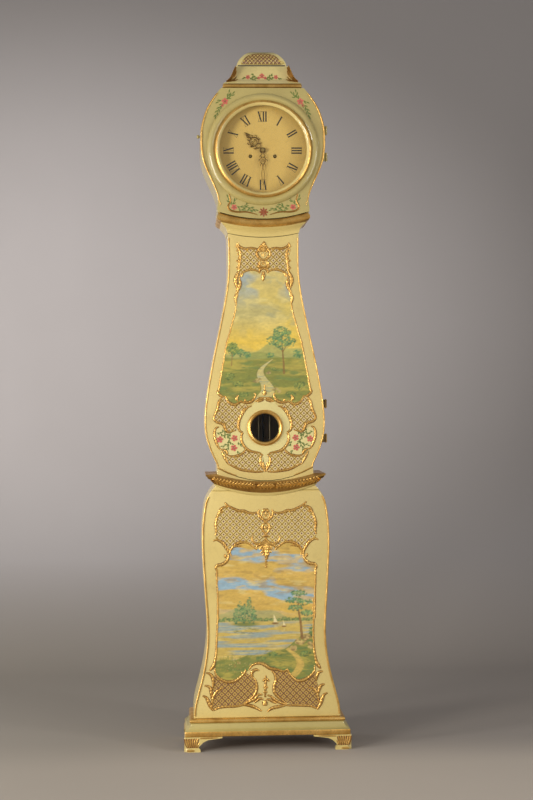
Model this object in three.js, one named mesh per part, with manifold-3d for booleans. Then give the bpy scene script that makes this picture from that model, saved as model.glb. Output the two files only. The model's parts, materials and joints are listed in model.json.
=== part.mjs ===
// A long-case clock in the painted northern country style. The case stands on bracket feet and
// swells twice: in the lower case and in the trunk, whose whole front is a door. A round head
// with a full-face dial door carries a cornice, a coved top and a domed crest. Inside are a
// weight-driven movement, its bell, two weights on gut lines and a pendulum.
// Millimetres, +Z up, front towards -Y, origin on the floor under the middle of the object.

import * as THREE from 'three';
import { mergeVertices } from 'three/addons/utils/BufferGeometryUtils.js';
import Module from 'manifold-3d';

const wasm = await Module();
wasm.setup();

// Fits
const seatGap = 0.3;
const doorGap = 2;
const runningGap = 0.4;
const overrun = 3;

// Depths of the case, from the back face to the front of each storey
const trunkDepth = 200;
const hoodReach = 30;
const bezelReach = 18;
const backFace = (trunkDepth + hoodReach + bezelReach) / 2;
const trunkFront = backFace - trunkDepth;
const hoodFront = trunkFront - hoodReach;

// Boards
const doorThickness = 20;
const sideThickness = 14;
const backThickness = 10;
const seatThickness = 16;
const trunkSideFront = trunkFront + doorThickness + seatGap;
const hoodSideFront = hoodFront + doorThickness + seatGap;
const backBoardFront = backFace - backThickness;

// Heights of the storeys, stacked from the floor
const footHeight = 47;
const plinthHeight = 52;
const baseHeight = 746;
const trunkHeight = 851;
const hoodHeight = 394;
const corniceHeight = 12.4;
const coveHeight = 62;
const crestHeight = 56;
const plinthFoot = footHeight + seatGap;
const baseFoot = plinthFoot + plinthHeight + seatGap;
const trunkFoot = baseFoot + baseHeight + seatGap;
const trunkHead = trunkFoot + trunkHeight;
const hoodFoot = trunkHead + seatGap;
const corniceFoot = hoodFoot + hoodHeight + seatGap;
const coveFoot = corniceFoot + corniceHeight + seatGap;
const crestFoot = coveFoot + coveHeight + seatGap;

// Outlines of the case seen from the front: each pair is a share of the storey's height and a
// share of the storey's widest half-width
const baseHalf = 203;
const trunkHalf = 191;
const hoodHalf = 197;
const baseShares = [
  [0, 1.15], [0.042, 1.14], [0.083, 1.108], [0.151, 1.04], [0.218, 0.983], [0.286, 0.946],
  [0.354, 0.929], [0.421, 0.936], [0.555, 0.968], [0.69, 0.995], [0.759, 1], [0.83, 0.99],
  [0.893, 0.959], [0.928, 0.926], [0.961, 0.856], [0.977, 0.806], [0.988, 0.77], [1, 0.762],
];
const trunkShares = [
  [0, 0.81], [0.053, 0.797], [0.07, 0.81], [0.098, 0.869], [0.128, 0.925], [0.158, 0.966],
  [0.188, 0.992], [0.217, 1], [0.247, 0.997], [0.307, 0.971], [0.425, 0.882], [0.543, 0.77],
  [0.66, 0.662], [0.72, 0.618], [0.78, 0.59], [0.85, 0.585], [0.93, 0.589], [1, 0.589],
];
const hoodShares = [
  [0, 0.73], [0.03, 0.74], [0.095, 0.728], [0.15, 0.748], [0.22, 0.802], [0.32, 0.892],
  [0.384, 0.944], [0.448, 0.979], [0.54, 0.999], [0.61, 0.999], [0.675, 0.992], [0.742, 0.961],
  [0.807, 0.919], [0.871, 0.855], [0.936, 0.766], [1, 0.655],
];
const outlineSteps = 28;
const archSteps = 9;
const nearPoint = 2.5;

// Bowed mouldings: how far the front run hangs below its ends
const waistDrop = 11;
const waistHeight = 38;
const waistSagLow = 32;
const waistSagHigh = 24;
const neckDrop = 61;
const neckSagLow = 13;
const neckSagHigh = 21;
const footRailShow = 20;
const baseJointDrop = 26;
const waistFoot = trunkFoot - waistDrop;
const neckFoot = trunkHead - neckDrop;

// Doors
const trunkDoorFoot = waistFoot + waistHeight + footRailShow;
const trunkDoorFootSag = footRailShow + waistSagHigh - doorGap;
const trunkDoorHead = neckFoot - doorGap;
const hoodDoorFoot = trunkHead + doorGap;
const hoodDoorHead = corniceFoot - doorGap;

// Hinges
const knuckleRadius = 4;
const knuckleGap = 0.3;
const hingePinRadius = 1.8;
const hingeHeight = 26;
const hingeLeafWidth = 22;
const hingeLeafThickness = 1.4;
const trunkHingeShares = [0.161, 0.29];
const hoodHingeShares = [0.449, 0.664];

// Window in the trunk door
const windowRiseShare = 0.2022;
const windowHeight = trunkFoot + windowRiseShare * trunkHeight;
const windowRadius = 45;
const windowRingRadius = 57;
const windowRingReach = 9;
const windowGlassThickness = 2.5;
const windowRebate = 6;

// Dial, its opening in the door, and its hands
const dialRiseShare = 0.5046;
const dialHeight = hoodFoot + dialRiseShare * hoodHeight;
const dialRadius = 150;
const dialThickness = 2;
const dialSetback = 6;
const dialOpening = 142;
const dialCentreHole = 6;
const windingHole = 6;
const windingSpread = 39;
const windingDrop = 18;
const dialPostRadius = 4;
const dialPostSpread = 58;
const bezelOuter = 177;
const bezelTorusReach = 12;
const bezelRingOuter = 153;
const bezelRingInner = 138;
const dialGlassThickness = 3;
const dialGlassSetback = 1;
const hourHandLength = 81;
const minuteHandLength = 127;
const handThickness = 1.4;
const handHub = 11;
const handSpacing = 4;
const handNutRadius = 5;
const handNutLength = 5;
const hourShownShare = 10.5 / 12;
const minuteShownShare = 6 / 12;
const dialFront = hoodFront + doorThickness + dialSetback;
const minuteArborRadius = 2.2;
const hourPipeRadius = 4.4;

// Knob on the head door
const knobRadius = 6.5;
const knobStem = 3;
const knobReach = 11;
const knobRise = 41;
const knobHeight = dialHeight + knobRise;

// Movement
const plateThickness = 3;
const movementSetback = 21;
const frontPlateFront = dialFront + dialThickness + movementSetback;
const frontPlateBack = frontPlateFront + plateThickness;
const platesApart = 64;
const plateHalf = 80;
const plateTopRise = 90;
const plateFoot = trunkHead + seatGap + seatThickness + seatGap;
const pillarRadius = 5;
const pillarInset = 8;
const arborRadius = 2.2;
const backPlateFront = frontPlateBack + platesApart;
const backPlateBack = backPlateFront + plateThickness;

// Drums and escapement
const drumRadius = 20;
const drumFlangeRadius = 26;
const drumLength = 50;
const drumFlange = 2;
const drumSetback = 8;
const greatWheelRadius = 33;
const greatWheelTeeth = 36;
const toothDepth = 3;
const wheelThickness = 3;
const windingSquare = 4.6;
const windingSquareReach = 2;
const anchorRiseShare = 0.6667;
const anchorHeight = dialHeight + anchorRiseShare * plateTopRise;
const escapeWheelDrop = 31;
const escapeWheelRadius = 21;
const escapeTeeth = 24;
const escapeBackset = 30;
const palletGap = 2;
const anchorThickness = 5;
const crutchLength = 84;
const crutchWidth = 5;
const crutchGap = 1.2;

// Bell and hammer
const bellRadius = 42;
const bellHeight = 30;
const bellWall = 2.5;
const bellLift = 14;
const bellPostRadius = 2.4;
const bellNutRadius = 5;
const hammerPivotSpread = 60;
const hammerRiseShare = 0.6444;
const hammerArmWidth = 5;
const hammerHeadRadius = 5;
const hammerHeadLength = 14;
const hammerClearance = 1.2;

// Pendulum
const pendulumSetback = 24;
const pendulumLength = 1066;
const rodRadius = 3;
const rodEyeRadius = 7;
const rodEyeThickness = 6;
const rodBelowBob = 14;
const bobRadius = 70;
const bobThickness = 26;
const bobNutRadius = 8;
const bobNutHeight = 8;
const cockWidth = 18;
const cockThickness = 4;
const cockPinRadius = 2.4;

// Weights, pulleys and lines
const lineRadius = 0.9;
const pulleyRadius = 20;
const pulleyLip = 3;
const pulleyThickness = 8;
const pulleyRiseShare = 0.1165;
const pulleyRestHeight = trunkFoot + pulleyRiseShare * trunkHeight;
const weightRadius = 28;
const weightLength = 190;
const weightNeck = 9;
const stirrupThickness = 3;
const stirrupWidth = 12;
const lineSlotRadius = 5;
const crutchSlotHalf = 26;
const crutchSlotDepth = 18;

// Feet
const footReach = 30.5;
const footWing = 120;
const footSideWing = 84;
const footThickness = 18;
const footShares = [
  [0.083, 0], [0.425, 0], [0.42, 0.17], [0.37, 0.3], [0.42, 0.47], [0.5, 0.66], [0.62, 0.8],
  [0.8, 0.86], [1, 0.92], [1, 1], [0.02, 1], [0, 0.8], [0.03, 0.6], [0.11, 0.34], [0.083, 0.17],
];

// Moulding profiles: shares of the moulding's reach and of its height, from its foot up
const plinthReach = 28;
const plinthShares = [
  [1, 0], [1, 0.3], [0.86, 0.34], [0.61, 0.44], [0.43, 0.58], [0.34, 0.7], [0.32, 0.77],
  [0.43, 0.8], [0.47, 0.87], [0.44, 0.95], [0.32, 1],
];
const waistReach = 31;
const waistShares = [
  [0.03, 0], [0.1, 0.07], [0.2, 0.2], [0.3, 0.36], [0.42, 0.46], [0.42, 0.52], [0.7, 0.6],
  [0.84, 0.7], [0.9, 0.82], [1, 0.85], [1, 1],
];
const neckReach = 34.5;
const neckShares = [
  [0.03, 0], [0.06, 0.1], [0.11, 0.2], [0.22, 0.29], [0.37, 0.39], [0.54, 0.48], [0.62, 0.54],
  [0.68, 0.58], [0.85, 0.62], [0.96, 0.7], [1, 0.79], [0.96, 0.88], [0.85, 0.96], [0.72, 1],
];
const neckInnerShare = 0.85;
const mitreGap = 0.6;

// Top storeys: the width and setback of each foot, and profiles as shares of how far it draws in
const corniceHalf = 125;
const corniceInset = 6;
const corniceDraw = 3;
const corniceShares = [[-1, 0], [0, 0.25], [0, 0.7], [-0.7, 1]];
const coveDraw = 35;
const coveShares = [
  [-0.03, 0], [-0.11, 0.05], [-0.34, 0.14], [-0.57, 0.23], [-0.71, 0.33], [-0.78, 0.46],
  [-0.83, 0.67], [-0.89, 0.8], [-1, 1],
];
const crestStep = 10;
const crestDraw = 42;
const crestShares = [
  [0, 0], [0, 0.14], [-0.03, 0.29], [-0.12, 0.46], [-0.24, 0.6], [-0.38, 0.75], [-0.62, 0.91],
  [-1, 1],
];

// Finishes
const paint = { color: 0xded9c0, roughness: 0.55, metalness: 0 };
const gilding = { color: 0xa8834a, roughness: 0.4, metalness: 0.7 };
const brass = { color: 0xb8954f, roughness: 0.35, metalness: 0.9 };
const iron = { color: 0x4a4744, roughness: 0.6, metalness: 0.8 };
const pine = { color: 0xb59a70, roughness: 0.75, metalness: 0 };
const gut = { color: 0xcdb98e, roughness: 0.6, metalness: 0 };
const clearGlass = { color: 0xe8eeee, roughness: 0.05, metalness: 0, transparent: true, opacity: 0.25 };

// Counts
const roundSides = 12;
const ringSides = 40;
const smallSides = 10;

const clock = new THREE.Group();

/** Adds one named piece, made of a geometry in its parent's frame. */
function addPiece(parent, name, geometry, finish) {
  const mesh = new THREE.Mesh(geometry, new THREE.MeshStandardMaterial(finish));
  mesh.name = name;
  parent.add(mesh);
  return mesh;
}

/** Turns a closed geometry into a solid that can be joined and cut. */
function solidOf(geometry) {
  const bare = geometry.clone();
  bare.deleteAttribute('normal');
  bare.deleteAttribute('uv');
  const merged = mergeVertices(bare);
  return new wasm.Manifold(new wasm.Mesh({
    numProp: 3,
    vertProperties: new Float32Array(merged.attributes.position.array),
    triVerts: new Uint32Array(merged.index.array),
  }));
}

/** Turns a solid back into a geometry. */
function geometryOf(solid) {
  const mesh = solid.getMesh();
  const geometry = new THREE.BufferGeometry();
  geometry.setAttribute('position', new THREE.BufferAttribute(mesh.vertProperties, 3));
  geometry.setIndex(new THREE.BufferAttribute(mesh.triVerts, 1));
  geometry.computeVertexNormals();
  return geometry;
}

/** Joins closed geometries into one. */
function join(...geometries) {
  return geometryOf(geometries.map(solidOf).reduce((whole, next) => whole.add(next)));
}

/** Cuts tools out of a closed geometry. */
function cut(geometry, ...tools) {
  return geometryOf(tools.map(solidOf).reduce((rest, tool) => rest.subtract(tool), solidOf(geometry)));
}

/** A box between two corners. */
function block([x0, y0, z0], [x1, y1, z1]) {
  const box = new THREE.BoxGeometry(x1 - x0, y1 - y0, z1 - z0);
  return box.translate((x0 + x1) / 2, (y0 + y1) / 2, (z0 + z1) / 2);
}

/** A shape drawn as x and height, made a board whose back lies at y = back. */
function board(shape, back, thickness, curveSegments = roundSides) {
  const geometry = new THREE.ExtrudeGeometry(shape, {
    depth: thickness, bevelEnabled: false, curveSegments,
  });
  return geometry.rotateX(Math.PI / 2).translate(0, back, 0);
}

/** A round bar along y, from front to back. */
function arbor(radius, front, back, x = 0, z = 0, sides = smallSides) {
  const bar = new THREE.CylinderGeometry(radius, radius, back - front, sides);
  return bar.translate(x, (front + back) / 2, z);
}

/** A round bar along z, from foot to head. */
function post(radius, foot, head, x = 0, y = 0, sides = smallSides) {
  const bar = new THREE.CylinderGeometry(radius, radius, head - foot, sides);
  return bar.rotateX(Math.PI / 2).translate(x, y, (foot + head) / 2);
}

/** A turned piece about the y axis: its profile is a list of [radius, reach towards the front]. */
function turned(profile, back, sides = ringSides) {
  const points = profile.map(([radius, reach]) => new THREE.Vector2(radius, -reach));
  return new THREE.LatheGeometry(points.reverse(), sides).translate(0, back, 0);
}

/** The smooth half outline of a storey, as points of half-width and height. */
function outlineOf(shares, half, foot, height) {
  const knots = shares.map(([up, out]) => new THREE.Vector2(out * half, foot + up * height));
  return new THREE.SplineCurve(knots).getPoints(outlineSteps);
}

/** The half-width of an outline at a height. */
function halfAt(outline, height) {
  const above = outline.findIndex((point) => point.y >= height);
  if (above < 0) return outline[outline.length - 1].x;
  if (above === 0) return outline[0].x;
  const [low, high] = [outline[above - 1], outline[above]];
  return low.x + ((high.x - low.x) * (height - low.y)) / (high.y - low.y);
}

/** The part of an outline between two heights. */
function outlineBetween(outline, low, high) {
  const inner = outline.filter((point) => point.y > low + nearPoint && point.y < high - nearPoint);
  return [
    new THREE.Vector2(halfAt(outline, low), low),
    ...inner.map((point) => point.clone()),
    new THREE.Vector2(halfAt(outline, high), high),
  ];
}

/** Points of a bow that hangs by sag in the middle, from +half to -half without its ends. */
function bow(half, height, sag) {
  const points = [];
  for (let step = 1; step < archSteps && sag > 0; step += 1) {
    const side = 1 - (2 * step) / archSteps;
    points.push(new THREE.Vector2(side * half, height - sag * (1 - side * side)));
  }
  return points;
}

/** A full-width front between two heights, each with its bow; the foot's bow may be narrower. */
function frontShape(outline, foot, footSag, head, headSag, footBowHalf = halfAt(outline, foot)) {
  const right = outlineBetween(outline, foot, head);
  const left = right.map((point) => new THREE.Vector2(-point.x, point.y)).reverse();
  const headBow = bow(halfAt(outline, head), head, headSag);
  const footBow = bow(footBowHalf, foot, footSag).reverse();
  if (footBowHalf < halfAt(outline, foot)) {
    footBow.unshift(new THREE.Vector2(-footBowHalf, foot));
    footBow.push(new THREE.Vector2(footBowHalf, foot));
  }
  return new THREE.Shape([...right, ...headBow, ...left, ...footBow]);
}

/** A curved side board that follows the outline, on the side given by +1 or -1. */
function sideBoard(outline, foot, head, front, side) {
  const outer = outlineBetween(outline, foot, head);
  const inner = outer.map((point) => new THREE.Vector2(point.x - sideThickness, point.y)).reverse();
  const ring = [...outer, ...inner].map((point) => new THREE.Vector2(point.x * side, point.y));
  return board(new THREE.Shape(ring), backFace, backFace - front);
}

/** Joins rings of points, each ring one cut through the piece, and closes both ends. */
function skin(rings, capFaces) {
  const count = rings[0].length;
  const faces = [];
  for (let ring = 0; ring < rings.length - 1; ring += 1) {
    for (let corner = 0; corner < count; corner += 1) {
      const a = ring * count + corner;
      const b = ring * count + ((corner + 1) % count);
      faces.push(b, a, a + count, b, a + count, b + count);
    }
  }
  const last = (rings.length - 1) * count;
  for (const [a, b, c] of capFaces) {
    faces.push(a, b, c);
    faces.push(last + a, last + c, last + b);
  }
  const geometry = new THREE.BufferGeometry();
  const positions = rings.flat().flatMap((point) => point.toArray());
  geometry.setAttribute('position', new THREE.Float32BufferAttribute(positions, 3));
  geometry.setIndex(faces);
  geometry.computeVertexNormals();
  return geometry;
}

/** A moulding's closed profile of [reach, rise] with its inner face seatGap off the case. */
function profileOf(shares, reach, height, innerShare = 1) {
  const outer = shares.map(([out, up]) => new THREE.Vector2(out * reach + seatGap, up * height));
  return [
    ...outer, new THREE.Vector2(seatGap, innerShare * height), new THREE.Vector2(seatGap, 0),
  ];
}

/** The bowed front run of a moulding, mitred at both ends. */
function frontMoulding(profile, half, foot, height, sagLow, sagHigh) {
  const rings = [];
  for (let step = 0; step <= 2 * archSteps; step += 1) {
    const side = step / archSteps - 1;
    const hang = 1 - side * side;
    rings.push(profile.map(({ x: reach, y: rise }) => new THREE.Vector3(
      side * (half + reach),
      trunkFront - reach,
      foot + rise - hang * (sagLow + ((sagHigh - sagLow) * rise) / height),
    )));
  }
  return skin(rings, THREE.ShapeUtils.triangulateShape(profile, []));
}

/** The level return of a moulding along one side; its inner face hugs the case's outline. */
function sideMoulding(profile, half, outline, foot, side) {
  const inner = profile.length - 2;
  const reaches = profile.map(({ x: reach, y: rise }, index) => (
    index < inner ? reach : halfAt(outline, foot + rise) + seatGap - half
  ));
  const ringAt = (depthOf) => profile.map(({ y: rise }, index) => new THREE.Vector3(
    side * (half + reaches[index]), depthOf(reaches[index]), foot + rise,
  ));
  const rings = [ringAt((reach) => trunkFront - reach + mitreGap), ringAt(() => backFace)];
  if (side < 0) rings.reverse();
  return skin(rings, THREE.ShapeUtils.triangulateShape(profile, []));
}

/** A solid storey moulded on its front and sides, flat at the back. */
function mouldedBlock(shares, reach, half, front, foot, height) {
  const rings = shares.map(([out, up]) => {
    const wide = half + out * reach;
    const near = front - out * reach;
    const level = foot + up * height;
    return [[wide, backFace], [wide, near], [-wide, near], [-wide, backFace]]
      .map(([x, y]) => new THREE.Vector3(x, y, level));
  });
  return skin(rings, [[0, 1, 2], [0, 2, 3]]);
}

/** A bracket foot at one corner: an ogee bracket along the side and one or a block across it. */
function foot(side, atFront) {
  const outerHalf = baseHalf * baseShares[0][1] + footReach;
  const outline = (wing, from, towards) => new THREE.Shape(footShares.map(([along, up]) => (
    new THREE.Vector2(from + towards * along * wing, up * footHeight)
  )));
  const near = trunkFront - footReach;
  const sideBracket = new THREE.ExtrudeGeometry(
    outline(footSideWing, atFront ? near : backFace, atFront ? 1 : -1),
    { depth: footThickness, bevelEnabled: false },
  );
  sideBracket.rotateX(Math.PI / 2).rotateZ(Math.PI / 2);
  sideBracket.translate(side > 0 ? outerHalf - footThickness : -outerHalf, 0, 0);
  if (!atFront) {
    const [blockStart, blockEnd] = [footShares[0][0] * footWing, footShares[1][0] * footWing];
    const xs = [side * (outerHalf - blockStart), side * (outerHalf - blockEnd)].sort((a, b) => a - b);
    return join(sideBracket, block([xs[0], backFace - footThickness, 0], [xs[1], backFace, footHeight]));
  }
  const frontBracket = board(outline(footWing, side * outerHalf, -side), near + footThickness, footThickness);
  return join(sideBracket, frontBracket);
}

const baseOutline = outlineOf(baseShares, baseHalf, baseFoot, baseHeight);
const trunkOutline = outlineOf(trunkShares, trunkHalf, trunkFoot, trunkHeight);
const hoodOutline = outlineOf(hoodShares, hoodHalf, hoodFoot, hoodHeight);
const lowerOutline = [...baseOutline, ...trunkOutline];
const sides = [['left', -1], ['right', 1]];

/** Feet, plinth, lower case and waist moulding. */
function buildBase() {
  for (const [word, side] of sides) {
    addPiece(clock, `foot_front_${word}`, foot(side, true), gilding);
    addPiece(clock, `foot_back_${word}`, foot(side, false), paint);
  }
  const plinthHalf = baseHalf * baseShares[0][1];
  const plinth = mouldedBlock(
    plinthShares, plinthReach, plinthHalf, trunkFront, plinthFoot, plinthHeight,
  );
  addPiece(clock, 'plinth', plinth, paint);
  const panelHead = trunkFoot - baseJointDrop;
  const panel = frontShape(baseOutline, baseFoot, 0, panelHead - seatGap, 0);
  addPiece(clock, 'base_front_panel', board(panel, trunkFront + doorThickness, doorThickness), paint);
  const rail = frontShape(
    lowerOutline, panelHead, 0, trunkDoorFoot - doorGap, trunkDoorFootSag,
  );
  addPiece(clock, 'trunk_foot_rail', board(rail, trunkFront + doorThickness, doorThickness), paint);
  const profile = profileOf(waistShares, waistReach, waistHeight);
  const half = halfAt(baseOutline, waistFoot);
  const front = frontMoulding(profile, half, waistFoot, waistHeight, waistSagLow, waistSagHigh);
  addPiece(clock, 'waist_moulding_front', front, gilding);
  for (const [word, side] of sides) {
    const wall = sideBoard(baseOutline, baseFoot, baseFoot + baseHeight, trunkSideFront, side);
    addPiece(clock, `base_side_${word}`, wall, paint);
    const run = sideMoulding(profile, half, lowerOutline, waistFoot, side);
    addPiece(clock, `waist_moulding_${word}`, run, gilding);
  }
}

/** The back board, drawn inside the side boards of all three storeys. */
function backBoardShape() {
  const inset = sideThickness + seatGap;
  const storeys = [
    outlineBetween(baseOutline, baseFoot, trunkFoot - seatGap),
    outlineBetween(trunkOutline, trunkFoot, trunkHead),
    outlineBetween(hoodOutline, hoodFoot, hoodFoot + hoodHeight),
  ];
  const right = storeys.flat().map((point) => new THREE.Vector2(point.x - inset, point.y));
  const left = right.map((point) => new THREE.Vector2(-point.x, point.y)).reverse();
  return new THREE.Shape([...right, ...left]);
}

/** The place of a door's hinge line: just outside the widest half-width, in the joint plane. */
function hingeLine(widest, caseEdge) {
  return { x: widest + knuckleRadius + knuckleGap, y: caseEdge - seatGap / 2 };
}

const trunkHingeLine = hingeLine(trunkHalf, trunkSideFront);
const hoodHingeLine = hingeLine(hoodHalf, hoodSideFront);
const trunkHingeHeights = trunkHingeShares.map((share) => trunkFoot + share * trunkHeight);
const hoodHingeHeights = hoodHingeShares.map((share) => hoodFoot + share * hoodHeight);

/** One leaf of a hinge, behind (+1) or before (-1) the joint plane, with its own knuckles. */
function hingeLeaf(line, height, facing, knuckles) {
  const near = line.y + (facing * seatGap) / 2;
  const ys = [near, near + facing * hingeLeafThickness].sort((a, b) => a - b);
  const third = hingeHeight / 3;
  const foot = height - hingeHeight / 2;
  const inner = line.x - knuckleRadius - knuckleGap;
  let leaf = block([line.x - hingeLeafWidth, ys[0], foot], [inner, ys[1], foot + hingeHeight]);
  for (const index of knuckles) {
    const low = foot + index * third + (index > 0 ? knuckleGap / 2 : 0);
    const high = foot + (index + 1) * third - (index < 2 ? knuckleGap / 2 : 0);
    const tab = block([inner - hingeLeafThickness, ys[0], low], [line.x, ys[1], high]);
    leaf = join(leaf, tab, post(knuckleRadius, low, high, line.x, line.y, smallSides));
  }
  return leaf;
}

/** The case's leaf carries the pin, and the door's leaf turns on it. */
function hingePair(line, height) {
  const reach = hingeHeight / 2 + hingePinRadius;
  const pin = post(hingePinRadius, height - reach, height + reach, line.x, line.y);
  const bore = post(
    hingePinRadius + runningGap, height - reach - overrun, height + reach + overrun, line.x, line.y,
  );
  return [
    join(hingeLeaf(line, height, 1, [0, 2]), pin),
    cut(hingeLeaf(line, height, -1, [1]), bore),
  ];
}

/** The recess that takes one leaf of a hinge. */
function hingeRecess(line, height, facing) {
  const deep = line.y + facing * (seatGap / 2 + hingeLeafThickness + seatGap);
  const ys = [line.y - facing * overrun / 2, deep].sort((a, b) => a - b);
  const tall = hingeHeight / 2 + seatGap;
  return block(
    [line.x - hingeLeafWidth - seatGap, ys[0], height - tall],
    [line.x + knuckleRadius, ys[1], height + tall],
  );
}

/** Hangs a door: a leaf on the case and a leaf on the door for each hinge. */
function hangDoor(prefix, line, heights) {
  const words = ['lower', 'upper'];
  heights.forEach((height, index) => {
    const [fixed, moving] = hingePair(line, height);
    addPiece(clock, `${prefix}_hinge_${words[index]}_case_leaf`, fixed, brass);
    addPiece(clock, `${prefix}_hinge_${words[index]}_door_leaf`, moving, brass);
  });
}

/** A full-face door with its round opening and the recesses for its hinges. */
function fullFaceDoor(shape, front, opening, line, heights) {
  const hole = new THREE.Path();
  hole.absarc(0, opening.height, opening.radius, 0, 2 * Math.PI, true);
  shape.holes.push(hole);
  const leaf = board(shape, front + doorThickness, doorThickness, ringSides / 2);
  return cut(leaf, ...heights.map((height) => hingeRecess(line, height, -1)));
}

/** Side boards of a storey with recesses for the hinges on the right. */
function hungSides(name, outline, foot, head, front, line, heights) {
  for (const [word, side] of sides) {
    const wall = sideBoard(outline, foot, head, front, side);
    const recesses = heights.map((height) => hingeRecess(line, height, 1));
    addPiece(clock, `${name}_${word}`, side > 0 ? cut(wall, ...recesses) : wall, paint);
  }
}

/** Trunk, neck moulding, seat board and back board. */
function buildTrunk() {
  hungSides('trunk_side', trunkOutline, trunkFoot, trunkHead, trunkSideFront,
    trunkHingeLine, trunkHingeHeights);
  addPiece(clock, 'back_board', board(backBoardShape(), backFace, backThickness), pine);
  const rail = frontShape(trunkOutline, trunkDoorHead + doorGap, neckSagLow, trunkHead, 0);
  addPiece(clock, 'neck_rail', board(rail, trunkFront + doorThickness, doorThickness), paint);
  const profile = profileOf(neckShares, neckReach, neckDrop, neckInnerShare);
  const half = halfAt(trunkOutline, neckFoot);
  const front = frontMoulding(profile, half, neckFoot, neckDrop, neckSagLow, neckSagHigh);
  addPiece(clock, 'neck_moulding_front', front, gilding);
  for (const [word, side] of sides) {
    const run = sideMoulding(profile, half, trunkOutline, neckFoot, side);
    addPiece(clock, `neck_moulding_${word}`, run, gilding);
  }
}

/** The board that carries the movement, slotted for the lines and the crutch. */
function seatBoard() {
  const foot = trunkHead + seatGap;
  const half = halfAt(hoodOutline, foot) - sideThickness - seatGap;
  const seat = block(
    [-half, hoodSideFront, foot], [half, backBoardFront - seatGap, foot + seatThickness],
  );
  const slots = sides.map(([, side]) => post(
    lineSlotRadius, foot - overrun, foot + seatThickness + overrun,
    side * (windingSpread + lineOffset), weightDepth,
  ));
  const crutchSlot = block(
    [-crutchSlotHalf, pendulumDepth - crutchSlotDepth / 2, foot - overrun],
    [crutchSlotHalf, pendulumDepth + crutchSlotDepth / 2, foot + seatThickness + overrun],
  );
  return cut(seat, ...slots, crutchSlot);
}

/** Sides, cornice, cove and crest of the head. */
function buildHood() {
  hungSides('hood_side', hoodOutline, hoodFoot, hoodFoot + hoodHeight, hoodSideFront,
    hoodHingeLine, hoodHingeHeights);
  addPiece(clock, 'seat_board', seatBoard(), pine);
  const corniceFront = hoodFront + corniceInset;
  const cornice = mouldedBlock(
    corniceShares, corniceDraw, corniceHalf, corniceFront, corniceFoot, corniceHeight,
  );
  addPiece(clock, 'hood_cornice', cornice, gilding);
  const cove = mouldedBlock(coveShares, coveDraw, corniceHalf, corniceFront, coveFoot, coveHeight);
  addPiece(clock, 'hood_cove', cove, paint);
  const crest = mouldedBlock(
    crestShares, crestDraw, corniceHalf - coveDraw - crestStep,
    corniceFront + coveDraw + crestStep, crestFoot, crestHeight,
  );
  addPiece(clock, 'crest_cap', crest, paint);
}

/** The trunk's door with its round window. */
function buildTrunkDoor() {
  const shape = frontShape(
    trunkOutline, trunkDoorFoot, trunkDoorFootSag, trunkDoorHead, neckSagLow,
  );
  const opening = { height: windowHeight, radius: windowRadius };
  const doorBack = trunkFront + doorThickness;
  const leaf = fullFaceDoor(shape, trunkFront, opening, trunkHingeLine, trunkHingeHeights);
  const glassRadius = (windowRadius + windowRingRadius) / 2;
  const rebate = arbor(
    glassRadius + seatGap, doorBack - windowRebate, doorBack + overrun, 0, windowHeight, ringSides,
  );
  addPiece(clock, 'trunk_door', cut(leaf, rebate), paint);
  const width = windowRingRadius - windowRadius;
  const ring = turned([
    [windowRadius, 0], [windowRingRadius, 0], [windowRingRadius, windowRingReach / 3],
    [windowRingRadius - width / 4, windowRingReach * 0.8],
    [windowRadius + width / 2, windowRingReach],
    [windowRadius + width / 5, windowRingReach * 0.8], [windowRadius, windowRingReach / 3],
    [windowRadius, 0],
  ], trunkFront - seatGap);
  addPiece(clock, 'window_ring', ring.translate(0, 0, windowHeight), gilding);
  const glassFront = doorBack - windowRebate + seatGap;
  const glass = arbor(
    glassRadius, glassFront, glassFront + windowGlassThickness, 0, windowHeight, ringSides,
  );
  addPiece(clock, 'window_glass', glass, clearGlass);
  hangDoor('trunk', trunkHingeLine, trunkHingeHeights);
}

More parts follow.
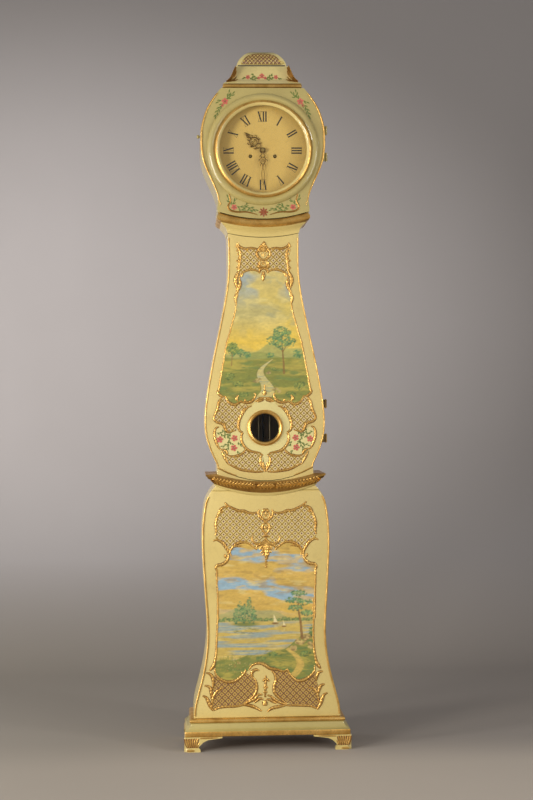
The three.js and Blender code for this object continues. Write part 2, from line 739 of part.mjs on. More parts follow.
/** The head's door with its bezel, gilt ring, glass and knob. */
function buildHoodDoor() {
  const shelfShare = neckShares[neckShares.length - 1][0];
  const shelfHalf = halfAt(trunkOutline, neckFoot) + seatGap + shelfShare * neckReach;
  const shape = frontShape(
    hoodOutline, hoodDoorFoot, neckSagHigh, hoodDoorHead, 0, shelfHalf,
  );
  const opening = { height: dialHeight, radius: dialOpening };
  const leaf = fullFaceDoor(shape, hoodFront, opening, hoodHingeLine, hoodHingeHeights);
  addPiece(clock, 'hood_door', leaf, paint);
  const seat = hoodFront - seatGap;
  const torusInner = bezelRingOuter + seatGap;
  const width = bezelOuter - torusInner;
  const torus = turned([
    [torusInner, 0], [bezelOuter, 0], [bezelOuter - width / 12, bezelTorusReach * 0.4],
    [bezelOuter - width / 4, bezelTorusReach * 0.8], [bezelOuter - width / 2, bezelTorusReach],
    [torusInner + width / 4, bezelTorusReach * 0.9], [torusInner, bezelTorusReach * 0.6],
    [torusInner, 0],
  ], seat);
  addPiece(clock, 'dial_bezel', torus.translate(0, 0, dialHeight), paint);
  const glassRim = (bezelRingOuter + bezelRingInner) / 2;
  const rebate = dialGlassSetback + dialGlassThickness + seatGap;
  const ringWidth = bezelRingOuter - bezelRingInner;
  const ring = turned([
    [glassRim, 0], [bezelRingOuter, 0], [bezelRingOuter, bezelReach * 0.62],
    [bezelRingOuter - ringWidth / 5, bezelReach * 0.9],
    [bezelRingOuter - ringWidth / 2, bezelReach - seatGap],
    [bezelRingInner + ringWidth / 5, bezelReach * 0.86], [bezelRingInner, bezelReach * 0.6],
    [bezelRingInner, rebate], [glassRim, rebate], [glassRim, 0],
  ], seat);
  addPiece(clock, 'bezel_ring', ring.translate(0, 0, dialHeight), gilding);
  const glassBack = seat - dialGlassSetback;
  const glass = arbor(
    glassRim - seatGap, glassBack - dialGlassThickness, glassBack, 0, dialHeight, ringSides,
  );
  addPiece(clock, 'dial_glass', glass, clearGlass);
  const knob = new THREE.LatheGeometry([
    [0, 0], [knobStem, 0], [knobStem, 0.35], [knobRadius, 0.55], [knobRadius * 0.9, 0.85],
    [knobRadius * 0.5, 1], [0, 1],
  ].map(([radius, share]) => new THREE.Vector2(radius, share * knobReach)), smallSides);
  knob.rotateZ(Math.PI / 2);
  knob.translate(-halfAt(hoodOutline, knobHeight) - seatGap, hoodFront + doorThickness / 2, knobHeight);
  addPiece(clock, 'hood_knob', knob, paint);
  hangDoor('hood', hoodHingeLine, hoodHingeHeights);
}

const drumFront = frontPlateBack + drumSetback;
const weightDepth = drumFront + drumLength / 2;
const lineOffset = pulleyRadius + lineRadius + seatGap;
const pendulumDepth = backPlateBack + pendulumSetback;
const drumHeight = dialHeight - windingDrop;
const escapeWheelHeight = anchorHeight - escapeWheelDrop;
const hammerHeight = dialHeight + hammerRiseShare * plateTopRise;

/** The dial: a plain plate with three holes and four posts that reach the movement. */
function dial() {
  const dialBack = dialFront + dialThickness;
  const plate = arbor(dialRadius, dialFront, dialBack, 0, dialHeight, ringSides);
  const places = [[0, 0, dialCentreHole]];
  for (const [, side] of sides) places.push([side * windingSpread, -windingDrop, windingHole]);
  const holes = places.map(([x, rise, radius]) => arbor(
    radius, dialFront - overrun, dialBack + overrun, x, dialHeight + rise, roundSides,
  ));
  const posts = [];
  for (const [, across] of sides) {
    for (const [, up] of sides) {
      posts.push(arbor(
        dialPostRadius, dialBack - dialThickness / 2, frontPlateFront - seatGap,
        across * dialPostSpread, dialHeight + up * dialPostSpread, smallSides,
      ));
    }
  }
  return cut(join(plate, ...posts), ...holes);
}

/** A hand's outline: [share of length, share of hub radius] pairs up one edge, mirrored. */
function handShape(shares, length, piercings) {
  const edge = shares.map(([up, out]) => new THREE.Vector2(out * handHub, up * length));
  const right = new THREE.SplineCurve(edge).getPoints(2 * edge.length);
  const left = right.slice(1, -1).map((point) => new THREE.Vector2(-point.x, point.y)).reverse();
  const shape = new THREE.Shape([...right, ...left]);
  for (const [low, high, out] of piercings) {
    const hole = new THREE.Path();
    const middle = ((low + high) / 2) * length;
    hole.absellipse(0, middle, out * handHub, ((high - low) / 2) * length, 0, 2 * Math.PI, true, 0);
    shape.holes.push(hole);
  }
  return shape;
}

const hourHandShares = [
  [-0.13, 0], [-0.1, 0.7], [0, 1], [0.12, 0.72], [0.17, 0.34], [0.22, 0.3], [0.3, 0.86], [0.42, 1.3],
  [0.52, 1.1], [0.6, 0.5], [0.66, 0.28], [0.76, 0.42], [0.82, 0.24], [1, 0],
];
const hourPiercings = [[0.32, 0.52, 0.62]];
const minuteHandShares = [
  [-0.08, 0], [-0.06, 0.6], [0, 0.9], [0.08, 0.62], [0.11, 0.3], [0.16, 0.3], [0.2, 0.74],
  [0.27, 0.9], [0.34, 0.6], [0.39, 0.26], [0.45, 0.36], [0.5, 0.24], [0.85, 0.16], [1, 0],
];
const minutePiercings = [[0.2, 0.33, 0.42]];

/** The hour hand on its pipe, at the shown time. */
function hourHand(back) {
  const shape = handShape(hourHandShares, hourHandLength, hourPiercings);
  const blade = board(shape, back, handThickness, smallSides);
  const pipe = arbor(hourPipeRadius, back - handThickness / 2, frontPlateFront - seatGap);
  const bore = arbor(
    minuteArborRadius + runningGap, back - handThickness - overrun, frontPlateFront + overrun,
  );
  return cut(join(blade, pipe), bore).rotateY(hourShownShare * 2 * Math.PI);
}

/** The minute hand with its arbor and the nut that holds it, at the shown time. */
function minuteHand(back) {
  const shape = handShape(minuteHandShares, minuteHandLength, minutePiercings);
  const blade = board(shape, back, handThickness, smallSides);
  const nutFront = back - handThickness - handNutLength;
  const nut = arbor(handNutRadius, nutFront, back - handThickness / 2);
  const stem = arbor(minuteArborRadius, nutFront + handThickness, frontPlateBack + plateThickness);
  return join(blade, nut, stem).rotateY(minuteShownShare * 2 * Math.PI);
}

/** Dial and hands. */
function buildDial() {
  addPiece(clock, 'dial', dial(), brass);
  const hourBack = dialFront - handSpacing;
  const minuteBack = hourBack - handThickness - handSpacing;
  const hands = new THREE.Group();
  hands.position.z = dialHeight;
  clock.add(hands);
  addPiece(hands, 'hour_hand', hourHand(hourBack), iron);
  addPiece(hands, 'minute_hand', minuteHand(minuteBack), iron);
}

/** A toothed wheel's outline, centred on zero. */
function wheelShape(radius, teeth, lean) {
  const points = [];
  for (let tooth = 0; tooth < teeth; tooth += 1) {
    const start = (2 * Math.PI * tooth) / teeth;
    const tip = start + (2 * Math.PI * lean) / teeth;
    const root = radius - toothDepth;
    points.push(new THREE.Vector2(root * Math.cos(start), root * Math.sin(start)));
    points.push(new THREE.Vector2(radius * Math.cos(tip), radius * Math.sin(tip)));
  }
  return new THREE.Shape(points);
}

/** A movement plate with holes for the arbors that pass it. */
function movementPlate(front) {
  const head = dialHeight + plateTopRise;
  const plate = block([-plateHalf, front, plateFoot], [plateHalf, front + plateThickness, head]);
  const places = [
    [0, dialHeight, minuteArborRadius],
    [0, escapeWheelHeight, arborRadius],
    [0, anchorHeight, arborRadius],
    [hammerPivotSpread, hammerHeight, arborRadius],
    ...sides.map(([, side]) => [side * windingSpread, drumHeight, windingSquare / Math.SQRT2]),
  ];
  const holes = places.map(([x, z, radius]) => arbor(
    radius + runningGap, front - overrun, front + plateThickness + overrun, x, z, smallSides,
  ));
  return cut(plate, ...holes);
}

/** The front plate with its four pillars. */
function frontPlate() {
  const head = dialHeight + plateTopRise;
  const pillars = [];
  for (const height of [plateFoot + pillarInset, head - pillarInset]) {
    for (const [, side] of sides) {
      pillars.push(arbor(
        pillarRadius, frontPlateBack - plateThickness / 2, backPlateFront - seatGap,
        side * (plateHalf - pillarInset), height,
      ));
    }
  }
  return join(movementPlate(frontPlateFront), ...pillars);
}

/** The back plate with the bell's post and the cock and pin that hang the pendulum. */
function backPlate() {
  const head = dialHeight + plateTopRise;
  const bellFoot = head + bellLift;
  const middle = backPlateFront + plateThickness / 2;
  const bellPost = post(
    bellPostRadius, head - pillarInset, bellFoot + bellHeight + bellNutRadius, 0, middle,
  );
  const shoulder = post(
    bellNutRadius, bellFoot + bellHeight - bellWall - seatGap - bellNutRadius,
    bellFoot + bellHeight - bellWall - seatGap, 0, middle,
  );
  const cockBack = pendulumDepth + rodEyeThickness / 2 + seatGap + cockThickness;
  const cockHead = anchorHeight + rodEyeRadius + cockThickness * 2;
  const arm = block(
    [-cockWidth / 2, backPlateBack - plateThickness / 2, cockHead - cockThickness],
    [cockWidth / 2, cockBack, cockHead],
  );
  const drop = block(
    [-cockWidth / 2, cockBack - cockThickness, anchorHeight - rodEyeRadius],
    [cockWidth / 2, cockBack, cockHead],
  );
  const pin = arbor(
    cockPinRadius, pendulumDepth - rodEyeThickness / 2 - cockThickness / 2,
    cockBack - cockThickness / 2, 0, anchorHeight,
  );
  return join(movementPlate(backPlateFront), bellPost, shoulder, arm, drop, pin);
}

/** One drum with its great wheel, arbor and winding square. */
function drum(side) {
  const barrel = arbor(drumRadius, drumFront, drumFront + drumLength, 0, 0, 2 * roundSides);
  const flangeFront = arbor(drumFlangeRadius, drumFront - drumFlange, drumFront, 0, 0, 2 * roundSides);
  const flangeEnd = drumFront + drumLength;
  const flangeBack = arbor(drumFlangeRadius, flangeEnd, flangeEnd + drumFlange, 0, 0, 2 * roundSides);
  const wheel = board(
    wheelShape(greatWheelRadius, greatWheelTeeth, 0.5), drumFront - drumFlange + overrun / 4,
    wheelThickness,
  );
  const square = windingSquare / 2;
  const reach = dialFront - windingSquareReach;
  const winder = block([-square, reach, -square], [square, frontPlateBack + runningGap, square]);
  const axle = arbor(arborRadius, frontPlateFront, backPlateBack);
  const piece = join(barrel, flangeFront, flangeBack, wheel, winder, axle);
  return piece.translate(side * windingSpread, 0, drumHeight);
}

/** The escape wheel on its arbor. */
function escapeWheel() {
  const wheelBack = frontPlateBack + escapeBackset;
  const wheel = board(wheelShape(escapeWheelRadius, escapeTeeth, 0.15), wheelBack, wheelThickness);
  const openings = [];
  const rim = escapeWheelRadius - 2 * toothDepth;
  for (let spoke = 0; spoke < 4; spoke += 1) {
    const turn = (Math.PI / 2) * (spoke + 0.5);
    const reach = (rim + 2 * arborRadius) / 2;
    openings.push(arbor(
      (rim - 2 * arborRadius) / 2, wheelBack - wheelThickness - overrun, wheelBack + overrun,
      reach * Math.cos(turn), reach * Math.sin(turn),
    ));
  }
  const axle = arbor(arborRadius, frontPlateFront, backPlateBack);
  return join(cut(wheel, ...openings), axle).translate(0, 0, escapeWheelHeight);
}

const anchorShares = [[0, 0.26], [0.35, 0.16], [0.66, -0.24], [0.61, -0.52], [0.48, -0.39], [0, -0.13]];

/** The anchor on its arbor, with the crutch that reaches the pendulum rod. */
function anchor() {
  const edge = anchorShares.map(([out, up]) => (
    new THREE.Vector2(out * escapeWheelDrop, up * escapeWheelDrop)
  ));
  const left = edge.slice(1, -1).map((point) => new THREE.Vector2(-point.x, point.y)).reverse();
  const armBack = frontPlateBack + escapeBackset + (anchorThickness - wheelThickness) / 2;
  const arms = board(new THREE.Shape([...edge, ...left].reverse()), armBack, anchorThickness);
  const crutchFront = backPlateBack + crutchGap;
  const crutchBack = crutchFront + crutchWidth / 2;
  const axle = arbor(arborRadius, frontPlateFront, crutchBack);
  const blade = block(
    [-crutchWidth / 2, crutchFront, -crutchLength], [crutchWidth / 2, crutchBack, crutchWidth / 2],
  );
  const prongInner = rodRadius + crutchGap;
  const prongOuter = prongInner + crutchWidth / 2;
  const foot = -crutchLength - crutchWidth / 2;
  const bar = block([-prongOuter, crutchFront, foot], [prongOuter, crutchBack, foot + crutchWidth]);
  const prongs = sides.map(([, side]) => block(
    [Math.min(side * prongInner, side * prongOuter), crutchFront, foot],
    [Math.max(side * prongInner, side * prongOuter), pendulumDepth + rodRadius, foot + crutchWidth],
  ));
  return join(arms, axle, blade, bar, ...prongs).translate(0, 0, anchorHeight);
}

/** The hammer on its arbor, its head beside the bell's rim. */
function hammer() {
  const bellFoot = dialHeight + plateTopRise + bellLift;
  const armFront = backPlateBack + crutchGap;
  const armBack = armFront + hammerArmWidth / 2;
  const headHeight = bellFoot + 2 * hammerHeadRadius;
  const middle = (armFront + armBack) / 2;
  const arm = block(
    [hammerPivotSpread - hammerArmWidth / 2, armFront, hammerHeight - hammerArmWidth],
    [hammerPivotSpread + hammerArmWidth / 2, armBack, headHeight],
  );
  const axle = arbor(arborRadius, frontPlateFront, armBack, hammerPivotSpread, hammerHeight);
  const headNear = bellRadius + hammerClearance;
  const head = new THREE.CylinderGeometry(hammerHeadRadius, hammerHeadRadius, hammerHeadLength, smallSides);
  head.rotateZ(Math.PI / 2).translate(headNear + hammerHeadLength / 2, middle, headHeight);
  const link = block(
    [headNear + hammerHeadLength / 2, armFront, headHeight - hammerArmWidth / 2],
    [hammerPivotSpread + hammerArmWidth / 2, armBack, headHeight + hammerArmWidth / 2],
  );
  return join(arm, axle, head, link);
}

/** The bell: an open cup, mouth down, on the post of the back plate. */
function bell() {
  const foot = dialHeight + plateTopRise + bellLift;
  const bore = bellPostRadius + runningGap;
  const outerShares = [[1, 0], [0.93, 0.2], [0.8, 0.66], [0.5, 0.93], [0.2, 1]];
  const outer = outerShares.map(([out, up]) => [out * bellRadius, up * bellHeight]);
  const inner = outerShares.slice(0, -1).map(([out, up]) => (
    [out * bellRadius - bellWall, up * (bellHeight - bellWall)]
  )).reverse();
  const profile = [
    ...outer, [bore, bellHeight], [bore, bellHeight - bellWall], ...inner, [bellRadius, 0],
  ].map(([radius, rise]) => new THREE.Vector2(radius, rise));
  const shell = new THREE.LatheGeometry(profile, 2 * roundSides);
  return shell.rotateX(Math.PI / 2).translate(0, backPlateFront + plateThickness / 2, foot);
}

/** Movement: plates, drums, escapement, hammer and bell. */
function buildMovement() {
  addPiece(clock, 'movement_front_plate', frontPlate(), brass);
  addPiece(clock, 'movement_back_plate', backPlate(), brass);
  for (const [word, side] of sides) addPiece(clock, `drum_${word}`, drum(side), brass);
  addPiece(clock, 'escape_wheel', escapeWheel(), brass);
  addPiece(clock, 'anchor', anchor(), iron);
  addPiece(clock, 'hammer', hammer(), iron);
  addPiece(clock, 'bell', bell(), brass);
}

/** The pendulum rod, with the eye that hangs on the cock's pin and the nut under the bob. */
function pendulumRod() {
  const bobHeight = anchorHeight - pendulumLength;
  const foot = bobHeight - bobRadius - rodBelowBob;
  const bar = post(rodRadius, foot, anchorHeight - rodEyeRadius + rodRadius, 0, pendulumDepth);
  const eyeFront = pendulumDepth - rodEyeThickness / 2;
  const eye = arbor(rodEyeRadius, eyeFront, eyeFront + rodEyeThickness, 0, anchorHeight, roundSides);
  const bore = arbor(
    cockPinRadius + runningGap, eyeFront - overrun, eyeFront + rodEyeThickness + overrun,
    0, anchorHeight,
  );
  const nutHead = bobHeight - bobRadius - seatGap;
  const nut = post(bobNutRadius, nutHead - bobNutHeight, nutHead, 0, pendulumDepth);
  return cut(join(bar, eye, nut), bore);
}

/** The lens-shaped bob, bored for the rod. */
function pendulumBob() {
  const half = bobThickness / 2;
  const face = [[1, 0], [0.96, 0.16], [0.78, 0.56], [0.45, 0.88], [0, 1]];
  const front = face.map(([out, up]) => [out * bobRadius, up * half]);
  const back = face.slice(1).map(([out, up]) => [out * bobRadius, -up * half]).reverse();
  const lens = turned([...back, ...front], pendulumDepth, 2 * roundSides);
  const bore = post(
    rodRadius + seatGap, -bobRadius - overrun, bobRadius + overrun, 0, pendulumDepth,
  );
  return cut(lens, bore).translate(0, 0, anchorHeight - pendulumLength);
}

/** A weight with the stirrup and pin that hold its pulley; the pulley's centre is at zero. */
function weight() {
  const cheek = pulleyThickness / 2 + 2 * runningGap;
  const drop = pulleyRadius + pulleyLip + stirrupThickness;
  const bridge = block(
    [-stirrupWidth / 2, -cheek - stirrupThickness, -drop - stirrupThickness],
    [stirrupWidth / 2, cheek + stirrupThickness, -drop],
  );
  const cheeks = sides.map(([, side]) => {
    const ys = [side * cheek, side * (cheek + stirrupThickness)].sort((a, b) => a - b);
    return block(
      [-stirrupWidth / 2, ys[0], -drop - stirrupThickness / 2],
      [stirrupWidth / 2, ys[1], stirrupWidth / 2],
    );
  });
  const pin = arbor(arborRadius, -cheek - stirrupThickness, cheek + stirrupThickness);
  const head = -drop - stirrupThickness - weightNeck;
  const stem = post(stirrupThickness, head - stirrupThickness, -drop - stirrupThickness / 2);
  const shares = [[0, 0], [0.9, 0], [1, 0.03], [1, 0.95], [0.8, 0.985], [0.3, 1], [0, 1]];
  const body = new THREE.LatheGeometry(
    shares.map(([out, up]) => new THREE.Vector2(out * weightRadius, up * weightLength)), 2 * roundSides,
  );
  body.rotateX(Math.PI / 2).translate(0, 0, head - weightLength);
  return join(bridge, ...cheeks, pin, stem, body);
}

/** A grooved pulley, its centre at zero. */
function pulley() {
  const half = pulleyThickness / 2;
  const bore = arborRadius + runningGap;
  const rim = pulleyRadius + pulleyLip;
  return turned([
    [bore, -half], [rim, -half], [rim, -half * 0.6], [pulleyRadius, -half * 0.35],
    [pulleyRadius, half * 0.35], [rim, half * 0.6], [rim, half], [bore, half], [bore, -half],
  ], 0, 2 * roundSides);
}

/** A gut line: down from the drum, round under the pulley and up to the seat board. */
function line(side) {
  const stops = [new THREE.Vector3(lineOffset, 0, drumHeight)];
  const turns = roundSides;
  for (let step = 0; step <= turns; step += 1) {
    const angle = (Math.PI * step) / turns;
    stops.push(new THREE.Vector3(
      lineOffset * Math.cos(angle), 0, pulleyRestHeight - lineOffset * Math.sin(angle),
    ));
  }
  stops.push(new THREE.Vector3(-lineOffset, 0, trunkHead));
  const across = new THREE.Vector3(0, 1, 0);
  const section = [];
  for (let corner = 0; corner < smallSides / 2; corner += 1) {
    section.push((4 * Math.PI * corner) / smallSides);
  }
  const rings = stops.map((stop, index) => {
    const before = stops[Math.max(index - 1, 0)];
    const after = stops[Math.min(index + 1, stops.length - 1)];
    const way = index === 1 || index === stops.length - 2
      ? new THREE.Vector3(0, 0, index === 1 ? -1 : 1)
      : after.clone().sub(before).normalize();
    const normal = way.cross(across);
    return section.map((angle) => stop.clone()
      .addScaledVector(normal, lineRadius * Math.cos(angle))
      .addScaledVector(across, lineRadius * Math.sin(angle)));
  });
  const flat = section.map((angle) => new THREE.Vector2(Math.cos(angle), Math.sin(angle)));
  const tube = skin(rings, THREE.ShapeUtils.triangulateShape(flat, []));
  if (side < 0) tube.rotateZ(Math.PI);
  return tube.translate(side * windingSpread, weightDepth, 0);
}

/** Pendulum, weights, pulleys and lines. */
function buildHangingPieces() {
  addPiece(clock, 'pendulum_rod', pendulumRod(), iron);
  addPiece(clock, 'pendulum_bob', pendulumBob(), brass);
  for (const [word, side] of sides) {
    const place = new THREE.Group();
    place.position.set(side * windingSpread, weightDepth, pulleyRestHeight);
    clock.add(place);
    addPiece(place, `weight_${word}`, weight(), iron);
    addPiece(place, `pulley_${word}`, pulley(), brass);
    addPiece(clock, `line_${word}`, line(side), gut);
  }
}

buildBase();
buildTrunk();
buildHood();
buildTrunkDoor();
buildHoodDoor();
buildDial();
buildMovement();
buildHangingPieces();

export default clock;
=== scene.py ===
"""Dresses the long-case clock: painted case, gilt ornament, pictures, dial, glass and movement."""
import json
import logging
import math
from dataclasses import dataclass, field
from enum import Enum
from typing import Callable, Sequence

import bpy
import numpy as np
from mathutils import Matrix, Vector
from mathutils.bvhtree import BVHTree

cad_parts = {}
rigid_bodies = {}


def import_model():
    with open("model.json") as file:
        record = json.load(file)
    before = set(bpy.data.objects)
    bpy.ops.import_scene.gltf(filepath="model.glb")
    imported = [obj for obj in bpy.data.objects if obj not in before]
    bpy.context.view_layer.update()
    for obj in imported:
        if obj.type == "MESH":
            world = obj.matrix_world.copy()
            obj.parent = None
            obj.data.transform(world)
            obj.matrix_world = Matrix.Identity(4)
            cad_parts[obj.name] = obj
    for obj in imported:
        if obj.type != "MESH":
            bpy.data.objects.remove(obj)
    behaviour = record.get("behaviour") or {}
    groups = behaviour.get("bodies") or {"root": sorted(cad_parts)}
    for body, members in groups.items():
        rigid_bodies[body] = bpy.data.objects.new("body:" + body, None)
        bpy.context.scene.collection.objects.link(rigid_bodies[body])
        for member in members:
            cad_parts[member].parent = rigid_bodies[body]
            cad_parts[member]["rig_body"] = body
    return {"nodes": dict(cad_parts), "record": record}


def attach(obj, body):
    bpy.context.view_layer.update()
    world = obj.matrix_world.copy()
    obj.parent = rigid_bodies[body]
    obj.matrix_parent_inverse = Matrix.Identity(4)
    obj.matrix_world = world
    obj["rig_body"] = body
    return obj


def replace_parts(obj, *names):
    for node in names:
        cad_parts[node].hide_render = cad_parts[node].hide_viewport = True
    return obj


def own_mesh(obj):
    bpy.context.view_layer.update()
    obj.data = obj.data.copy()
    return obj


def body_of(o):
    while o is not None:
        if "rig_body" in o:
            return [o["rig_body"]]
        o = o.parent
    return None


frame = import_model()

LOG = logging.getLogger("clock")
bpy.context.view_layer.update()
MM = 0.001
DIAL_HEIGHT = 1896.0

Point = tuple[float, float]
Path = Sequence[Point]
Rows = Sequence[Sequence[float]]
Colour = tuple[float, float, float]
Piece = bpy.types.Object
Material = bpy.types.Material
Outline = tuple[Point, ...]
Table = tuple[tuple[tuple[float, ...], Outline], ...]


class Body(Enum):
    """The moving bodies that dressed pieces ride on."""

    CASE = "case"
    TRUNK_DOOR = "trunk_door"
    HOOD_DOOR = "hood_door"
    MINUTE = "minute_hand"
    HOUR = "hour_hand"


class Slot(Enum):
    """The material slots of the record."""

    PAINT = "cream_paint"
    GILT = "gilding"
    PINE = "pine"
    BRASS = "brass"
    STEEL = "dark_steel"
    IRON = "cast_iron"
    GLASS = "glass"
    GUT = "gut"


@dataclass(frozen=True)
class Wire:
    """A node socket that takes part in arithmetic; each operator adds one Math node."""

    graph: "Graph"
    socket: bpy.types.NodeSocket

    def _math(self, operation: str, *values: "Wire | float") -> "Wire":
        """Adds a Math node for the values and returns its result."""
        return self.graph.node("Math", {"operation": operation}, dict(enumerate(values)))

    def __add__(self, other: "Wire | float") -> "Wire":
        """Sum."""
        return self._math("ADD", self, other)

    def __sub__(self, other: "Wire | float") -> "Wire":
        """Difference."""
        return self._math("SUBTRACT", self, other)

    def __rsub__(self, other: float) -> "Wire":
        """Difference from a number."""
        return self._math("SUBTRACT", other, self)

    def __mul__(self, other: "Wire | float") -> "Wire":
        """Product."""
        return self._math("MULTIPLY", self, other)


class Graph:
    """The node tree of one material, with one method that adds nodes."""

    def __init__(self, name: str) -> None:
        """Starts an empty material.

        Args:
            name: the material's name.
        """
        self.material = bpy.data.materials.new(name)
        self.material.use_nodes = True
        self.tree = self.material.node_tree
        self.tree.nodes.clear()
        self.output = self.tree.nodes.new("ShaderNodeOutputMaterial")

    def node(self, kind: str, settings: dict, inputs: dict, out: int | str = 0) -> Wire:
        """Adds one node.

        Args:
            kind: the node's type, without its first word ShaderNode.
            settings: its properties.
            inputs: values or wires for its sockets, by name or number.
            out: the output to return.

        Returns:
            The chosen output.
        """
        made = self.tree.nodes.new(f"ShaderNode{kind}")
        for key, value in settings.items():
            setattr(made, key, value)
        for key, value in inputs.items():
            if isinstance(value, Wire):
                self.tree.links.new(value.socket, made.inputs[key])
            else:
                made.inputs[key].default_value = value
        return Wire(self, made.outputs[out])

    def place(self, scale: Sequence[float] = (1.0, 1.0, 1.0)) -> Wire:
        """Object coordinates, stretched by a scale."""
        raw = self.node("TexCoord", {}, {}, "Object")
        return self.node("Mapping", {}, {"Vector": raw, "Scale": tuple(scale)})

    def cloud(self, scale: float, detail: float, stretch: Sequence[float] = (1, 1, 1)) -> Wire:
        """Soft noise between zero and one."""
        inputs = {"Vector": self.place(stretch), "Scale": scale, "Detail": detail, "Roughness": 0.6}
        return self.node("TexNoise", {}, inputs)

    def cells(self, scale: float, feature: str = "DISTANCE_TO_EDGE") -> Wire:
        """Cell pattern; by default the distance to the cell's edge."""
        inputs = {"Vector": self.place(), "Scale": scale}
        return self.node("TexVoronoi", {"feature": feature}, inputs, "Distance")

    def band(self, value: Wire, low: float, high: float, curve: str = "LINEAR") -> Wire:
        """A mask that goes from zero at low to one at high."""
        inputs = {"Value": value, "From Min": low, "From Max": high}
        return self.node("MapRange", {"clamp": True, "interpolation_type": curve}, inputs)

    def mix(self, factor: Wire | float, first: Wire | Colour, second: Wire | Colour) -> Wire:
        """Mixes two colours."""
        sides = [value if isinstance(value, Wire) else (*value, 1.0) for value in (first, second)]
        inputs = {0: factor, 6: sides[0], 7: sides[1]}
        return self.node("Mix", {"data_type": "RGBA"}, inputs, 2)

    def bump(self, height: Wire, strength: float, distance: float) -> Wire:
        """A normal from a height."""
        inputs = {"Strength": strength, "Distance": distance, "Height": height}
        return self.node("Bump", {}, inputs)

    def show(self, surface: Wire) -> Material:
        """Links a shader to the output and returns the material."""
        self.tree.links.new(surface.socket, self.output.inputs["Surface"])
        return self.material

    def finish(self, inputs: dict) -> Material:
        """The material of one plain surface shader."""
        return self.show(self.node("BsdfPrincipled", {}, inputs))


@dataclass(frozen=True)
class AgedPaint:
    """Oil paint on wood: soft colour drift, fine crackle, small chips and rubbed dirt."""

    name: str
    colour: Colour
    shade: Colour
    dirt: Colour
    coat: float = 0.75
    roughness: float = 0.42
    chips: float = 0.72

    def build(self) -> Material:
        """Makes the material.

        Returns:
            The material.
        """
        graph = Graph(self.name)
        drift = graph.cloud(3.2, 5.0)
        fine = graph.cloud(38.0, 6.0, (1.0, 1.0, 0.45))
        body = graph.mix(graph.band(drift, 0.3, 0.72), self.colour, self.shade)
        grime = graph.band(graph.cloud(11.0, 8.0), 0.56, 0.8) * 0.45
        body = graph.mix(grime, body, self.dirt)
        crackle = graph.band(graph.cells(62.0), 0.0, 0.035)
        body = graph.mix((1.0 - crackle) * 0.22, body, self.dirt)
        chip = graph.band(graph.cloud(90.0, 3.0), self.chips, self.chips + 0.02)
        body = graph.mix(chip * 0.7, body, (0.3, 0.2, 0.1))
        height = fine * 0.5 + crackle * 0.35 - chip * 0.8
        return graph.finish({
            "Base Color": body,
            "Roughness": graph.band(fine, 0.2, 0.9) * 0.22 + self.roughness,
            "Normal": graph.bump(height, 0.35, 0.0007),
            "Coat Weight": self.coat,
            "Coat Roughness": 0.1,
        })


@dataclass(frozen=True)
class Gilding:
    """Gold leaf on gesso: bright on the high places, brown and dull in the worn ones."""

    name: str
    bright: Colour
    dull: Colour
    wear: Colour
    grain: float = 160.0
    carved: float = 0.0

    def build(self) -> Material:
        """Makes the material.

        Returns:
            The material.
        """
        graph = Graph(self.name)
        patch = graph.band(graph.cloud(26.0, 6.0), 0.36, 0.66)
        speck = graph.band(graph.cloud(self.grain, 5.0), 0.5, 0.74)
        body = graph.mix(patch, self.bright, self.dull)
        body = graph.mix(speck * 0.55, body, self.wear)
        height = graph.cloud(self.grain * 1.6, 4.0) * 0.6
        if self.carved:
            height = height + graph.cells(self.carved, "F1") * 1.6
        return graph.finish({
            "Base Color": body,
            "Metallic": 0.82 - speck * 0.35,
            "Roughness": patch * 0.18 + speck * 0.12 + 0.27,
            "Normal": graph.bump(height, 0.45, 0.001),
        })


@dataclass(frozen=True)
class Metal:
    """Plain metal with fine scratches and stains."""

    name: str
    colour: Colour
    stain: Colour
    roughness: float
    metallic: float = 1.0

    def build(self) -> Material:
        """Makes the material.

        Returns:
            The material.
        """
        graph = Graph(self.name)
        stain = graph.band(graph.cloud(14.0, 7.0), 0.48, 0.78)
        fine = graph.cloud(220.0, 3.0)
        return graph.finish({
            "Base Color": graph.mix(stain * 0.6, self.colour, self.stain),
            "Metallic": self.metallic,
            "Roughness": fine * 0.2 + stain * 0.12 + (self.roughness - 0.1),
            "Normal": graph.bump(fine, 0.2, 0.0003),
        })


@dataclass(frozen=True)
class BarePine:
    """Old planed softwood, its grain upright."""

    name: str
    light: Colour
    dark: Colour

    def build(self) -> Material:
        """Makes the material.

        Returns:
            The material.
        """
        graph = Graph(self.name)
        grain = graph.cloud(9.0, 9.0, (6.0, 6.0, 0.35))
        fibre = graph.cloud(60.0, 4.0, (4.0, 4.0, 0.12))
        body = graph.mix(graph.band(grain, 0.35, 0.68), self.light, self.dark)
        return graph.finish({
            "Base Color": graph.mix(graph.band(fibre, 0.5, 0.75) * 0.4, body, self.dark),
            "Roughness": fibre * 0.2 + 0.62,
            "Normal": graph.bump(grain + fibre * 0.6, 0.4, 0.001),
        })


@dataclass(frozen=True)
class ClearGlass:
    """Thin old glass with a faint waviness."""

    name: str
    roughness: float = 0.02

    def build(self) -> Material:
        """Makes the material.

        Returns:
            The material.
        """
        graph = Graph(self.name)
        wave = graph.bump(graph.cloud(12.0, 2.0), 0.08, 0.001)
        glossy = graph.node("BsdfGlossy", {}, {
            "Color": (0.95, 0.96, 0.94, 1.0), "Roughness": self.roughness, "Normal": wave,
        })
        clear = graph.node("BsdfTransparent", {}, {"Color": (0.98, 0.98, 0.95, 1.0)})
        rim = graph.node("Fresnel", {}, {"IOR": 1.22})
        return graph.show(graph.node("MixShader", {}, {0: rim, 1: clear, 2: glossy}))


